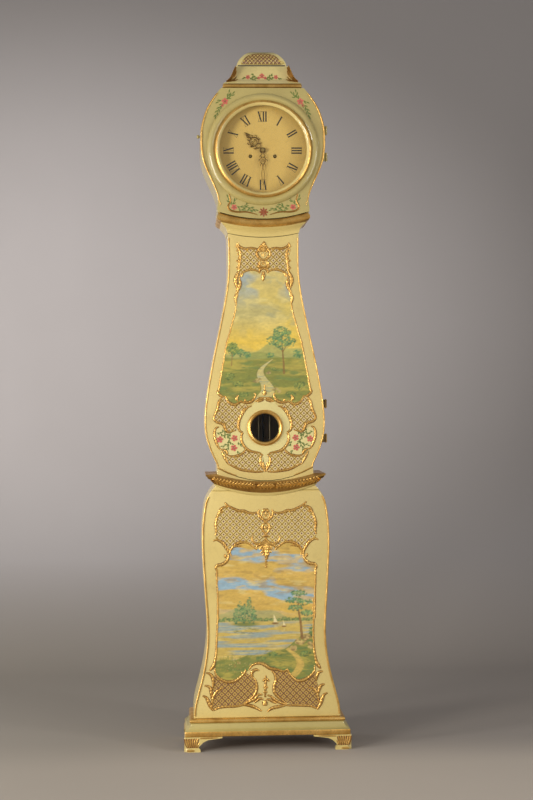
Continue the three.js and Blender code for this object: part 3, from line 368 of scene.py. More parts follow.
@dataclass(frozen=True)
class PaintedColours:
    """Thin brushwork whose colour comes from the piece's own colour attribute."""

    name: str
    roughness: float = 0.5

    def build(self) -> Material:
        """Makes the material.

        Returns:
            The material.
        """
        graph = Graph(self.name)
        colour = graph.node("VertexColor", {"layer_name": "paint"}, {})
        craze = graph.band(graph.cells(85.0), 0.0, 0.03)
        dulled = graph.mix((1.0 - craze) * 0.25, colour, (0.22, 0.17, 0.08))
        ridge = graph.cloud(150.0, 4.0, (1.0, 1.0, 2.4))
        return graph.finish({
            "Base Color": dulled,
            "Roughness": ridge * 0.2 + (self.roughness - 0.08),
            "Normal": graph.bump(ridge + craze * 0.4, 0.35, 0.0006),
        })


PAINTS = {
    "cream": ((0.615, 0.475, 0.162), (0.54, 0.405, 0.125), (0.34, 0.235, 0.07)),
    "pale_cream": ((0.66, 0.565, 0.24), (0.58, 0.485, 0.18), (0.4, 0.31, 0.11)),
    # the cream darkened as painted shade, for the dimmer light on the head, its dial surround and
    # the plinth
    "hood_cream": ((0.42, 0.335, 0.105), (0.36, 0.28, 0.082), (0.26, 0.19, 0.055)),
    "dusky_cream": ((0.6, 0.49, 0.19), (0.5, 0.39, 0.14), (0.32, 0.24, 0.08)),
    "lilac": ((0.58, 0.465, 0.215), (0.51, 0.38, 0.165), (0.33, 0.22, 0.09), 0.1),
    "tan": ((0.47, 0.295, 0.062), (0.385, 0.235, 0.045), (0.24, 0.14, 0.03), 0.1),
    "russet": ((0.3, 0.07, 0.012), (0.21, 0.05, 0.01), (0.08, 0.03, 0.008), 0.0),
    "plum": ((0.14, 0.03, 0.035), (0.1, 0.02, 0.03), (0.06, 0.02, 0.015), 0.1),
    "rose": ((0.58, 0.135, 0.085), (0.46, 0.085, 0.06), (0.3, 0.05, 0.03), 0.1),
    "crimson": ((0.42, 0.05, 0.045), (0.3, 0.03, 0.03), (0.18, 0.03, 0.02)),
    "leaf_green": ((0.13, 0.17, 0.025), (0.09, 0.125, 0.02), (0.05, 0.07, 0.015), 0.0),
    "umber": ((0.19, 0.078, 0.014), (0.13, 0.05, 0.01), (0.07, 0.03, 0.008), 0.1),
}
FINISHES = {
    **{key: AgedPaint(f"paint_{key}", *values) for key, values in PAINTS.items()},
    "gilt": Gilding("gold_leaf", (0.8, 0.49, 0.135), (0.46, 0.245, 0.05), (0.17, 0.08, 0.02)),
    "old_gilt": Gilding("gold_leaf_old", (0.54, 0.36, 0.06), (0.36, 0.22, 0.03),
                        (0.17, 0.1, 0.02)),
    "carved_gilt": Gilding("gold_leaf_carved", (0.46, 0.25, 0.055), (0.28, 0.135, 0.026),
                           (0.12, 0.05, 0.014), 120.0, 70.0),
    "pine": BarePine("bare_pine", (0.42, 0.27, 0.13), (0.29, 0.17, 0.07)),
    "bronze": Metal("bronze_dark", (0.26, 0.165, 0.06), (0.1, 0.06, 0.025), 0.4),
    "brass": Metal("brass_aged", (0.6, 0.42, 0.15), (0.28, 0.17, 0.06), 0.34),
    "steel": Metal("blued_steel", (0.06, 0.055, 0.052), (0.13, 0.09, 0.05), 0.42),
    "iron": Metal("cast_iron", (0.085, 0.08, 0.075), (0.14, 0.08, 0.045), 0.7, 0.6),
    "glass": ClearGlass("old_glass"),
    "gut": Metal("waxed_gut", (0.6, 0.48, 0.28), (0.4, 0.28, 0.13), 0.55, 0.0),
    "parchment": AgedPaint("dial_parchment", (0.84, 0.585, 0.175), (0.72, 0.475, 0.125),
                           (0.5, 0.29, 0.08), roughness=0.5, chips=0.8),
    "ink": AgedPaint("dial_ink", (0.035, 0.026, 0.018), (0.06, 0.042, 0.025),
                     (0.12, 0.08, 0.04), roughness=0.45, chips=0.9),
    "picture": PaintedColours("picture_paint"),
}
MADE: dict[str, Material] = {}


def material_of(finish: str) -> Material:
    """The material of a finish, built on its first use."""
    if finish not in MADE:
        MADE[finish] = FINISHES[finish].build()
    return MADE[finish]


def pairs(*values: float) -> Outline:
    """Points from their x and z by turns."""
    return tuple(zip(values[::2], values[1::2]))


def rib_rows(*rows: tuple[float, ...]) -> Table:
    """Ribs from rows that have three radii and then the x and z of each point."""
    return tuple((row[:3], pairs(*row[3:])) for row in rows)


TRUNK_TOP_RIBS = rib_rows(
    (1, 3, 1.5, -82, 1605, -78, 1596, -69, 1589, -56, 1585, -40, 1587, -27, 1586, -16, 1583),
    (1, 3, 2, -84, 1601, -80, 1590, -75, 1578, -73, 1565, -74, 1552, -76, 1539, -77, 1527,
     -79, 1514),
    (1, 3, 1, -87, 1548, -80, 1546, -76, 1551, -74, 1560),
    (1, 3, 1, -87, 1524, -81, 1525, -77, 1530, -75, 1540),
    (2, 4, 2, -79, 1514, -84, 1504, -88, 1494, -89, 1481, -86, 1469, -81, 1459),
    (1, 4, 1, -77, 1496, -75, 1485, -76, 1470, -81, 1456, -87, 1443),
    (1, 3, 1, -87, 1445, -90, 1435, -89, 1424, -87, 1410),
    (1, 2.5, 1, -81, 1450, -85, 1437, -88, 1425),
    (2, 3, 2, -76, 1497, -72, 1505, -65, 1511, -55, 1516, -44, 1519, -31, 1519, -19, 1515,
     -11, 1509),
    (1, 3, 1, -67, 1511, -68, 1503, -71, 1496),
    (2, 3.5, 1, -16, 1583, -21, 1576, -21, 1569, -17, 1560, -9, 1553, 1, 1549),
    (1, 3, 2, -9, 1575, -13, 1579, -15, 1585),
    (1, 3, 1, -15, 1544, -17, 1536, -13, 1527, -7, 1523, 0, 1521),
    (1, 3, 1, -13, 1509, -13, 1515, -10, 1521, 0, 1525),
    (1, 3.5, 1, 1, 1587, -4, 1590, -10, 1590, -14, 1592),
    (1, 3.5, 1, 1, 1588, -5, 1596, -9, 1597),
    (1, 3, 1, 1, 1590, -2, 1599, -3, 1603))
TRUNK_TOP_AXIS = rib_rows(
    (1, 4, 0.6, 1, 1588, 2, 1599, 2, 1609),
    (2, 4, 0.6, 0, 1514, -1, 1499, -2, 1482))
TRUNK_SIDE_RIBS = rib_rows(
    (1, 1.4, 1.2, -87, 1410, -90, 1392, -94, 1372, -102, 1345, -110, 1315, -117, 1295))
BELLY_RIBS = rib_rows(
    (1.2, 1.4, 2.5, -117, 1295, -122, 1269, -129, 1230, -135, 1198, -140, 1169, -144, 1144,
     -147, 1134),
    (1, 3, 1, -151, 1137, -147, 1129, -140, 1122, -132, 1118, -124, 1119),
    (1, 3.4, 2, -124, 1119, -121, 1113, -117, 1104, -108, 1096, -96, 1092, -84, 1097, -76, 1102),
    (2, 3.4, 1, -76, 1102, -64, 1099, -50, 1099, -38, 1105, -31, 1115, -29, 1124, -33, 1129),
    (1, 3.4, 1, -83, 1122, -88, 1116, -89, 1108, -84, 1102),
    (1, 2.6, 1, -62, 1110, -62, 1104, -55, 1100),
    (1, 3.6, 1, -30, 1101, -19, 1108, -11, 1112, -1, 1114),
    (1, 3, 1, -24, 1100, -15, 1104, -1, 1108),
    (1, 3, 2, -132, 1117, -141, 1108, -146, 1098, -148, 1086, -152, 1073, -160, 1057),
    (2, 3.4, 1, -160, 1057, -161, 1047, -153, 1038, -139, 1034, -131, 1030, -127, 1021, -123, 1011,
     -114, 1005, -102, 1009, -94, 1011),
    (1, 3.4, 2, -42, 1086, -54, 1083, -67, 1070, -77, 1054, -83, 1038, -84, 1021, -81, 1010,
     -71, 1003),
    (1, 3, 1, -52, 1081, -63, 1080, -71, 1070, -74, 1057),
    (2, 3, 1, -71, 1003, -75, 993, -75, 980, -70, 966, -60, 953, -46, 944, -27, 940, -14, 937,
     -9, 931),
    (1, 3, 1, -146, 1021, -154, 1019, -159, 1010, -160, 997, -157, 980, -149, 960, -139, 949),
    (1, 3.4, 1, -139, 951, -128, 948, -122, 941, -120, 932),
    (1, 3, 1.5, -120, 932, -104, 928, -85, 931, -70, 939, -61, 951),
    (1, 3, 1, -137, 945, -131, 931, -123, 916, -117, 904),
    (1, 3, 1.5, -120, 907, -97, 895, -75, 886, -52, 882, -27, 879, -7, 880),
    (1, 3.2, 1, -9, 931, -15, 922, -15, 909, -11, 896, -4, 886, 3, 879),
    (1, 3, 1, -7, 910, -7, 901, -2, 889))
BELLY_AXIS = rib_rows(
    (1.6, 4.4, 1.2, -1, 1121, 0, 1131, 0, 1138),
    (1.2, 1.8, 0.6, 0, 1138, 0, 1147, 0, 1157))
BASE_TOP_RIBS = rib_rows(
    (1, 3.2, 2, -130, 783, -118, 772, -99, 761, -82, 755, -68, 755, -58, 750, -41, 747, -24, 750),
    (1, 3, 1, -116, 770, -132, 767, -144, 759, -150, 747),
    (1, 3, 1, -150, 747, -143, 753, -133, 753),
    (1, 3, 1.5, -146, 756, -152, 742, -156, 728, -159, 711, -157, 695, -159, 679),
    (1, 3.6, 2, -167, 661, -157, 665, -145, 661, -135, 653, -127, 641, -121, 629, -118, 617),
    (1, 3, 1, -129, 619, -129, 611, -123, 607),
    (2, 3.6, 1.5, -118, 617, -121, 603, -130, 592, -142, 586, -152, 585, -159, 579, -158, 570,
     -154, 564),
    (1, 2.6, 1, -154, 564, -157, 558, -156, 548),
    (1, 3.4, 2, -110, 612, -114, 621, -112, 631, -104, 643, -92, 652, -79, 656, -64, 656, -51, 650,
     -42, 643),
    (1, 3, 1, -76, 643, -87, 645, -99, 643, -106, 637),
    (1, 3, 1.5, -20, 759, -23, 750, -21, 739, -12, 728, 3, 719),
    (1, 3, 1.5, 3, 719, -7, 712, -12, 700, -6, 687, 3, 677),
    (1, 3, 1.5, 3, 677, -3, 676, -9, 673),
    (1, 3.2, 1, -40, 676, -44, 666, -39, 656, -26, 650, -12, 653, -2, 663, 3, 670),
    (1, 3.4, 1, -33, 634, -28, 644, -17, 650, -4, 656, 3, 661),
    (1, 2.6, 1, -42, 643, -33, 636, -30, 630),
    (1, 3, 0.8, 3, 760, -4, 759, -7, 754, -4, 749),
    (1, 3.6, 1, 3, 626, -5, 634, -14, 636, -21, 632),
    (1, 3.6, 1, 3, 619, -5, 626, -13, 626, -17, 621),
    (1, 3.4, 1, 3, 610, -3, 617, -9, 617, -12, 613))
BASE_TOP_AXIS = rib_rows(
    (1.5, 4.6, 1.5, 2, 601, 2, 616, 3, 636))
BASE_SIDE_RIBS = rib_rows(
    (1.5, 1.6, 1.6, -156, 551, -156, 527, -154, 490, -154, 456, -153, 413))
BASE_FOOT_LEFT = rib_rows(
    (1.6, 1.8, 3, -154, 476, -155, 415, -158, 355, -161, 303, -167, 272),
    (1, 3.6, 1, -164, 280, -169, 267, -178, 255, -182, 251),
    (1, 3.6, 2, -164, 259, -164, 243, -155, 230, -140, 219, -124, 214, -104, 217, -87, 227,
     -73, 241, -67, 251),
    (1, 3, 1, -81, 246, -75, 239, -67, 244),
    (1, 3.6, 2, -58, 251, -50, 263, -36, 271, -20, 272, -5, 265, 10, 255, 32, 251, 52, 245,
     66, 252),
    (1, 3.6, 1, -194, 244, -183, 242, -174, 232, -170, 214, -173, 194),
    (1, 3.6, 1, -199, 204, -187, 202, -179, 193, -177, 177, -178, 162),
    (1, 4, 1, -205, 172, -194, 167, -187, 154, -181, 138, -172, 124),
    (1, 3.4, 1, -137, 196, -155, 189, -168, 174, -174, 154, -174, 134),
    (1, 3, 1, -172, 125, -151, 134, -129, 137, -101, 137, -79, 140, -69, 142),
    (1, 3.6, 1, -80, 141, -57, 139, -36, 131, -19, 120),
    (1, 3.6, 1, -25, 249, -35, 252, -46, 247, -49, 235, -42, 225),
    (1, 3, 1, -53, 231, -38, 219, -33, 198, -37, 178, -53, 159, -73, 145),
    (1, 3.4, 1, -15, 172, -29, 172, -39, 160, -57, 151, -73, 142),
    (1, 3, 1, -13, 158, -23, 160, -33, 154, -41, 147))
BASE_FOOT_RIGHT = rib_rows(
    (1.6, 1.8, 3, 149, 476, 149, 415, 148, 355, 151, 303, 157, 272),
    (1, 3.6, 1, 155, 280, 160, 267, 168, 255, 171, 251),
    (1, 3.6, 2, 151, 263, 151, 247, 140, 232, 124, 220, 105, 214, 88, 219, 73, 234, 65, 251),
    (1, 3.6, 1, 178, 243, 166, 241, 159, 231, 156, 214),
    (1, 3.6, 1, 183, 202, 171, 198, 165, 186, 162, 169),
    (1, 4, 1, 192, 174, 181, 169, 174, 156, 169, 140, 158, 122),
    (1, 3.4, 1, 128, 194, 145, 190, 156, 177, 162, 158, 164, 140),
    (1, 3, 1, 158, 124, 140, 133, 116, 136, 92, 137, 66, 137, 51, 140),
    (1, 3.6, 1, -1, 118, 15, 129, 39, 134, 59, 137),
    (1, 3.4, 1, 12, 252, 22, 239, 28, 219, 22, 198, 24, 177, 40, 159, 61, 145),
    (1, 3.4, 1, 0, 170, 11, 167, 26, 154, 45, 145, 63, 141),
    (1, 3, 1, -4, 157, 7, 156, 19, 149, 30, 144))
BASE_FOOT_AXIS = rib_rows(
    (0.8, 2.4, 0.8, -4, 233, -5, 210, -6, 186, -7, 164),
    (0.8, 3.2, 0.8, -14, 214, -5, 222, 7, 214),
    (0.8, 2.6, 0.8, -12, 194, -5, 198, 2, 193),
    (0.8, 2.6, 0.8, -12, 178, -6, 182, 0, 178),
    (2, 6, 2, -9, 154, -8, 146, -8, 137))
TRUNK_TOP_DIAPER = pairs(
    -75, 1578, -62, 1583, -40, 1584, -24, 1583, -17, 1579, -21, 1569, -15, 1556, -5, 1549,
    -13, 1543, -15, 1530, -8, 1521, -12, 1511, -19, 1516, -31, 1520, -44, 1520, -57, 1516,
    -67, 1511, -74, 1504, -78, 1514, -76, 1533, -73, 1552)
BELLY_UPPER_DIAPER = pairs(
    -133, 1116, -144, 1101, -147, 1086, -152, 1072, -160, 1056, -160, 1046, -152, 1038, -133, 1031,
    -126, 1020, -122, 1010, -114, 1005, -101, 1009, -83, 1012, -83, 1038, -77, 1054, -66, 1071,
    -53, 1083, -42, 1086, -64, 1093, -84, 1092, -96, 1092, -109, 1096, -117, 1104, -123, 1116)
BELLY_FLORAL_FIELD = pairs(
    -146, 1021, -156, 1014, -160, 997, -157, 980, -149, 960, -138, 947, -124, 937, -117, 931,
    -101, 928, -85, 931, -70, 939, -61, 952, -70, 966, -75, 980, -75, 993, -71, 1003, -85, 1011,
    -101, 1009, -114, 1005, -126, 1009, -136, 1018)
BELLY_LOWER_DIAPER = pairs(
    -121, 930, -123, 917, -116, 904, -97, 895, -75, 886, -52, 882, -27, 879, -7, 880, -11, 896,
    -16, 912, -13, 928, -15, 936, -27, 939, -46, 944, -58, 949, -69, 939, -85, 930, -101, 926)
BELLY_DISC = pairs(
    -1, 1114, -19, 1108, -30, 1101, -42, 1086, -54, 1083, -67, 1070, -77, 1054, -83, 1038,
    -84, 1021, -81, 1010, -71, 1003, -75, 993, -75, 980, -70, 966, -60, 953, -46, 944, -27, 940,
    -14, 937, -9, 931, -15, 915, -11, 896, 3, 879)
BASE_TOP_DIAPER = pairs(
    -116, 770, -99, 761, -82, 755, -58, 750, -41, 747, -23, 749, -20, 738, -11, 727, 1, 719,
    -8, 711, -12, 700, -6, 687, 2, 678, -8, 672, -17, 652, -28, 644, -38, 641, -51, 650, -64, 656,
    -79, 656, -92, 652, -104, 643, -113, 630, -118, 623, -127, 641, -135, 653, -145, 661, -164, 663,
    -158, 679, -157, 695, -159, 711, -156, 728, -152, 742, -144, 759, -130, 766)
BASE_LEFT_DIAPER = pairs(
    -171, 235, -161, 236, -145, 221, -124, 213, -103, 215, -85, 226, -69, 244, -53, 233, -38, 219,
    -33, 198, -37, 178, -53, 159, -73, 145, -101, 139, -129, 138, -151, 135, -172, 128, -176, 146,
    -174, 166, -169, 186, -170, 214)
BASE_RIGHT_DIAPER = pairs(
    16, 251, 32, 249, 52, 243, 66, 248, 73, 232, 88, 218, 105, 212, 124, 219, 142, 231, 152, 243,
    157, 219, 162, 194, 166, 162, 165, 140, 158, 127, 140, 134, 116, 137, 92, 139, 66, 143, 40, 159,
    25, 177, 23, 198, 28, 219, 22, 239)
TRUNK_PICTURE_HALF = pairs(
    0, 1507, -11, 1509, -19, 1515, -31, 1519, -44, 1519, -55, 1516, -65, 1511, -72, 1505, -77, 1496,
    -76, 1479, -76, 1459, -76, 1459, -81, 1450, -87, 1427, -87, 1410, -90, 1392, -94, 1372,
    -102, 1345, -110, 1315, -117, 1295, -117, 1295, -122, 1269, -129, 1230, -135, 1198, -140, 1169,
    -144, 1144, -147, 1134, -140, 1122, -132, 1118, -124, 1119, -121, 1113, -117, 1104, -108, 1096,
    -96, 1092, -84, 1097, -76, 1102, -64, 1099, -50, 1099, -30, 1101, -19, 1108, -1, 1114)
BASE_PICTURE_TOP_HALF = pairs(
    3, 660, -17, 649, -31, 635, -42, 643, -51, 650, -64, 656, -79, 656, -92, 652, -104, 643,
    -112, 631, -114, 621, -118, 616, -121, 603, -130, 592, -142, 586, -152, 585, -158, 575,
    -156, 551, -154, 490, -154, 456, -153, 413)
BASE_PICTURE_FOOT = pairs(
    -154, 476, -155, 415, -158, 355, -161, 303, -165, 267, -164, 243, -155, 230, -140, 219,
    -124, 214, -104, 217, -87, 227, -73, 241, -58, 251, -50, 263, -36, 271, -20, 272, -5, 265,
    10, 255, 32, 251, 52, 245, 65, 251, 73, 234, 88, 219, 105, 214, 124, 220, 140, 232, 151, 247,
    157, 272, 151, 303, 148, 355, 149, 415, 149, 476)


def make_active(piece: Piece) -> None:
    """Selects one object alone and makes it active."""
    bpy.ops.object.select_all(action="DESELECT")
    piece.select_set(True)
    bpy.context.view_layer.objects.active = piece


def linked(name: str, data: bpy.types.ID) -> Piece:
    """A new object of that data, active in the scene."""
    piece = bpy.data.objects.new(name, data)
    bpy.context.scene.collection.objects.link(piece)
    make_active(piece)
    return piece


def edit_mesh(piece: Piece, *steps: Callable[[], set[str]]) -> None:
    """Runs mesh operators in turn, each on the whole of a piece.

    Args:
        piece: the mesh object.
        steps: the operators' calls.
    """
    make_active(piece)
    bpy.ops.object.mode_set(mode="EDIT")
    for step in steps:
        bpy.ops.mesh.select_all(action="SELECT")
        step()
    bpy.ops.object.mode_set(mode="OBJECT")


def settle(piece: Piece, body: Body | str, finish: str,
           smooth: float = 40.0) -> Piece:
    """Gives a finished piece its material, shading and body.

    Args:
        piece: the mesh object, with its place in its mesh.
        body: the body it rides on.
        finish: its finish.
        smooth: the angle in degrees below which edges shade smooth.

    Returns:
        The same object.
    """
    make_active(piece)
    if not piece.data.materials:
        piece.data.materials.append(material_of(finish))
    bpy.ops.object.shade_smooth_by_angle(angle=math.radians(smooth))
    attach(piece, body.value if isinstance(body, Body) else body)
    LOG.info("piece %s: %d faces", piece.name, len(piece.data.polygons))
    return piece


def mesh_piece(name: str, points: Sequence[Sequence[float]],
               faces: Sequence[Sequence[int]]) -> Piece:
    """Makes an object from points in metres and faces by point number."""
    mesh = bpy.data.meshes.new(name)
    mesh.from_pydata(points, [], faces)
    return linked(name, mesh)


def joined(name: str, parts: list[Piece]) -> Piece:
    """Joins objects into one of that name.

    Args:
        name: the name it gets.
        parts: the objects.

    Returns:
        The joined object.
    """
    make_active(parts[0])
    for part in parts:
        part.select_set(True)
    if len(parts) > 1:
        bpy.ops.object.join()
    parts[0].name = name
    return parts[0]


def smooth_path(path: Path, step: float = 4.0) -> list[Point]:
    """Runs a Catmull-Rom curve through points.

    Args:
        path: the points in millimetres.
        step: the spacing of the result in millimetres.

    Returns:
        The finer points.
    """
    ends = [path[0], *path, path[-1]]
    result: list[Point] = []
    for before, start, end, after in zip(ends, ends[1:], ends[2:], ends[3:]):
        count = max(1, round(math.dist(start, end) / step))
        for index in range(count):
            t = index / count
            result.append(tuple(
                0.5 * (2 * b + (c - a) * t + (2 * a - 5 * b + 4 * c - d) * t * t
                       + (3 * b - a - 3 * c + d) * t ** 3)
                for a, b, c, d in zip(before, start, end, after)))
    result.append(path[-1])
    return result


def mirrored(path: Path) -> list[Point]:
    """The path on the clock's other side."""
    return [(-x, z) for x, z in path]


def spoke(centre: Point, radius: float, angle: float, shares: Sequence[float]) -> list[Point]:
    """Points at shares of a radius out from a centre, at an angle in radians."""
    x, z = centre
    return [(x + radius * share * math.cos(angle), z + radius * share * math.sin(angle))
            for share in shares]


def turned(path: Path, degrees: float) -> list[Point]:
    """Turns a path, given across and out from the dial's centre, clockwise about it."""
    c, s = math.cos(math.radians(degrees)), math.sin(math.radians(degrees))
    return [(out * s + across * c, DIAL_HEIGHT + out * c - across * s) for across, out in path]


def inside(point: Point, polygon: Path) -> bool:
    """Whether a point lies in a polygon, by the even-odd rule.

    Args:
        point: the point.
        polygon: the polygon's corners.

    Returns:
        True where it lies inside.
    """
    x, z = point
    found = False
    for (x0, z0), (x1, z1) in zip(polygon, [*polygon[1:], polygon[0]]):
        if (z0 > z) != (z1 > z) and x < (x1 - x0) * (z - z0) / (z1 - z0) + x0:
            found = not found
    return found


TAPERS = {"crest_cap": (2166.5, 56.0, 0.16, 0.2), "hood_cove": (2108.0, 58.0, 0.09, 0.0)}


def draw_in(name: str, places: np.ndarray) -> None:
    """Draws points on the crest cap or the cove in towards its top.

    Args:
        name: the node's name; on any other node nothing moves.
        places: the points in metres, changed in place.
    """
    foot, height, slope, round_off = TAPERS.get(name, (0.0, 1.0, 0.0, 0.0))
    share = np.clip((places[:, 2] / MM - foot) / height, 0.0, 1.0)
    places[:, 0] *= 1.0 - slope * share - round_off * share ** 6


class Surface:
    """The front of one CAD node, for ornament laid on a curved piece."""

    def __init__(self, name: str) -> None:
        """Reads the node.

        Args:
            name: the node's name.
        """
        mesh = frame["nodes"][name].data
        self.name = name
        self.tree = BVHTree.FromPolygons([corner.co for corner in mesh.vertices],
                                         [tuple(side.vertices) for side in mesh.polygons])

    def depth(self, x: float, z: float) -> float:
        """The y of the front at a place, or of the nearest point beyond its edges."""
        hit = self.tree.ray_cast(Vector((x, -1.0, z)), Vector((0.0, 1.0, 0.0)))[0]
        return (hit or self.tree.find_nearest(Vector((x, -0.2, z)))[0]).y

    def lay(self, places: np.ndarray) -> None:
        """Moves points, given by their distance from the front, onto it."""
        for row in places:
            row[1] += self.depth(row[0], row[2])
        draw_in(self.name, places)


@dataclass
class Relief:
    """Carved and applied ribs, leaves and beads that lie on one flat upright face."""

    name: str
    face: float
    flat: float = 0.8
    proud: float = 0.2
    sides: int = 2
    curve: bpy.types.Curve = field(init=False)

    def __post_init__(self) -> None:
        """Starts an empty curve whose radii are in millimetres."""
        self.curve = bpy.data.curves.new(self.name, "CURVE")
        self.curve.dimensions = "3D"
        self.curve.bevel_depth = MM
        self.curve.bevel_resolution = self.sides
        self.curve.use_fill_caps = True

    def strand(self, points: Path, radii: Sequence[float],
               lift: float = 0.0, closed: bool = False) -> None:
        """Adds one strand through the points as they are.

        Args:
            points: the middle line, in millimetres.
            radii: the radius at each point.
            lift: how far its middle stands before the face.
            closed: whether it joins up.
        """
        spline = self.curve.splines.new("POLY")
        spline.points.add(len(points) - 1)
        spline.use_cyclic_u = closed
        for control, (x, z), radius in zip(spline.points, points, radii):
            control.co = (x * MM, -lift * MM, z * MM, 1.0)
            control.radius = radius

    def rib(self, radii: Sequence[float], path: Path, step: float = 4.0,
            ripple: float = 0.0) -> None:
        """Adds a smooth rib that swells from its start to its middle and falls to its end.

        Args:
            radii: its radius at the start, the middle and the end.
            path: points on it, in millimetres.
            step: the spacing of its rings.
            ripple: the share by which its radius rises and falls, as in rope or rocaille.
        """
        points = smooth_path(path, step)
        count = len(points) - 1
        start, middle, end = radii
        sizes = []
        for index in range(count + 1):
            t = index / count
            side, share = (start, t / 0.5) if t < 0.5 else (end, (1 - t) / 0.5)
            swell = side + (middle - side) * math.sin(share * math.pi / 2)
            sizes.append(swell * (1 + ripple * math.sin(index * 2.1)))
        self.strand(points, sizes)

    def pair(self, radii: Sequence[float], path: Path, step: float = 4.0) -> None:
        """Adds a rib and its mirror image."""
        self.rib(radii, path, step)
        self.rib(radii, mirrored(path), step)

    def leaves(self, path: Path, every: float, length: float, radius: float,
               turn: float = 38.0, both: bool = False) -> None:
        """Sets small leaves along a path, curling off it.

        Args:
            path: the path in millimetres.
            every: the spacing of the leaves.
            length: the length of each.
            radius: the thickness of each.
            turn: the angle off the path in degrees.
            both: whether they alternate between the two sides.
        """
        points = smooth_path(path, 2.0)
        travelled, side = every * 0.5, 1.0
        for start, end in zip(points, points[1:]):
            travelled += math.dist(start, end)
            if travelled < every:
                continue
            travelled = 0.0
            heading = math.atan2(end[1] - start[1], end[0] - start[0])
            side = -side if both else 1.0
            leaf = [start]
            for share in (0.35, 0.7, 1.0):
                angle = heading + side * math.radians(turn) * (1.25 - 0.6 * share)
                leaf.append((start[0] + length * share * math.cos(angle),
                             start[1] + length * share * math.sin(angle)))
            self.rib((radius * 0.6, radius, radius * 0.2), leaf, length / 4)

    def oval(self, centre: Point, half: Point, radius: float, lift: float = 0.4,
             sides: int = 20) -> None:
        """Adds a closed oval strand of a half-width and half-height, lifted before the face."""
        ring = [(centre[0] + half[0] * math.cos(math.tau * step / sides),
                 centre[1] + half[1] * math.sin(math.tau * step / sides)) for step in range(sides)]
        self.strand(ring, [radius] * sides, lift, True)

    def dot(self, centre: Point, radius: float, sides: int = 10) -> None:
        """Adds a round boss as two short rings of a closed strand."""
        for share, size in ((0.62, 0.42), (0.2, 0.3)):
            self.oval(centre, (radius * share, radius * share), radius * size,
                      radius * (0.85 - share) * 0.8, sides)

    def flower(self, centre: Point, radius: float, petals: int, turn: float = 0.0) -> None:
        """Adds a carved flower of radial petals round a small eye.

        Args:
            centre: its middle, in millimetres.
            radius: its outer radius.
            petals: the number of petals.
            turn: the first petal's angle in degrees.
        """
        for petal in range(petals):
            line = spoke(centre, radius, math.radians(turn) + math.tau * petal / petals,
                         (0.18, 0.5, 1.0))
            self.rib((radius * 0.1, radius * 0.2, radius * 0.05), line, radius / 4)
        self.dot(centre, radius * 0.26, 8)

    def fan(self, foot: Point, length: float, up: float, spread: float, count: int) -> None:
        """Adds a palmette of leaves that fan out from a foot.

        Args:
            foot: where the leaves meet.
            length: the length of the middle one.
            up: 1 for upwards, -1 for downwards.
            spread: the angle of the outer ones off the upright, in degrees.
            count: the number of leaves.
        """
        x, z = foot
        for index in range(count):
            share = index / (count - 1) * 2 - 1
            angle = math.radians(90 - share * spread)
            reach = length * (1 - 0.32 * abs(share))
            line = [foot, (x + reach * 0.5 * math.cos(angle * 0.96 + 0.06),
                           z + up * reach * 0.55 * math.sin(angle)),
                    (x + reach * math.cos(angle), z + up * reach * math.sin(angle) * 0.94)]
            self.rib((1.2, length * 0.12, 0.5), line, length / 6)

    def build(self, body: Body | str, slot: Slot = Slot.GILT, finish: str = "gilt",
              onto: str = "", extras: Sequence[Piece] = ()) -> Piece:
        """Turns the curve into a mesh on its face.

        Args:
            body: the body it rides on.
            slot: not used.
            finish: its finish.
            onto: the node whose curved front it follows, in place of the flat face.
            extras: pieces that become part of it.

        Returns:
            The finished piece.
        """
        linked(self.name, self.curve)
        bpy.ops.object.convert(target="MESH")
        piece = bpy.context.view_layer.objects.active
        count = len(piece.data.vertices)
        places = np.empty(count * 3)
        piece.data.vertices.foreach_get("co", places)
        places = places.reshape(-1, 3)
        places[:, 1] = places[:, 1] * self.flat + (self.face * (not onto) - self.proud) * MM
        if onto:
            Surface(onto).lay(places)
        piece.data.vertices.foreach_set("co", places.ravel())
        piece.data.update()
        if extras:
            piece = joined(self.name, [piece, *extras])
        return settle(piece, body, finish, 60.0)


def flat_panel(name: str, polygon: Path, face: float, proud: float,
               depth: float = 1.0) -> Piece:
    """Makes a thin upright panel from its outline.

    Args:
        name: the object's name.
        polygon: the outline in millimetres.
        face: the carrier's front face.
        proud: how far the panel's front stands before it.
        depth: how far its back reaches behind the carrier's face.

    Returns:
        The panel, one closed body.
    """
    front, back = (face - proud) * MM, (face + depth) * MM
    count = len(polygon)
    points = [(x * MM, front, z * MM) for x, z in polygon]
    points += [(x * MM, back, z * MM) for x, z in polygon]
    faces = [tuple(range(count)), tuple(range(2 * count - 1, count - 1, -1))]
    faces += [(step, step + count, (step + 1) % count + count, (step + 1) % count)
              for step in range(count)]
    piece = mesh_piece(name, points, faces)
    edit_mesh(piece, lambda: bpy.ops.mesh.normals_make_consistent(inside=False),
              lambda: bpy.ops.mesh.quads_convert_to_tris())
    return piece


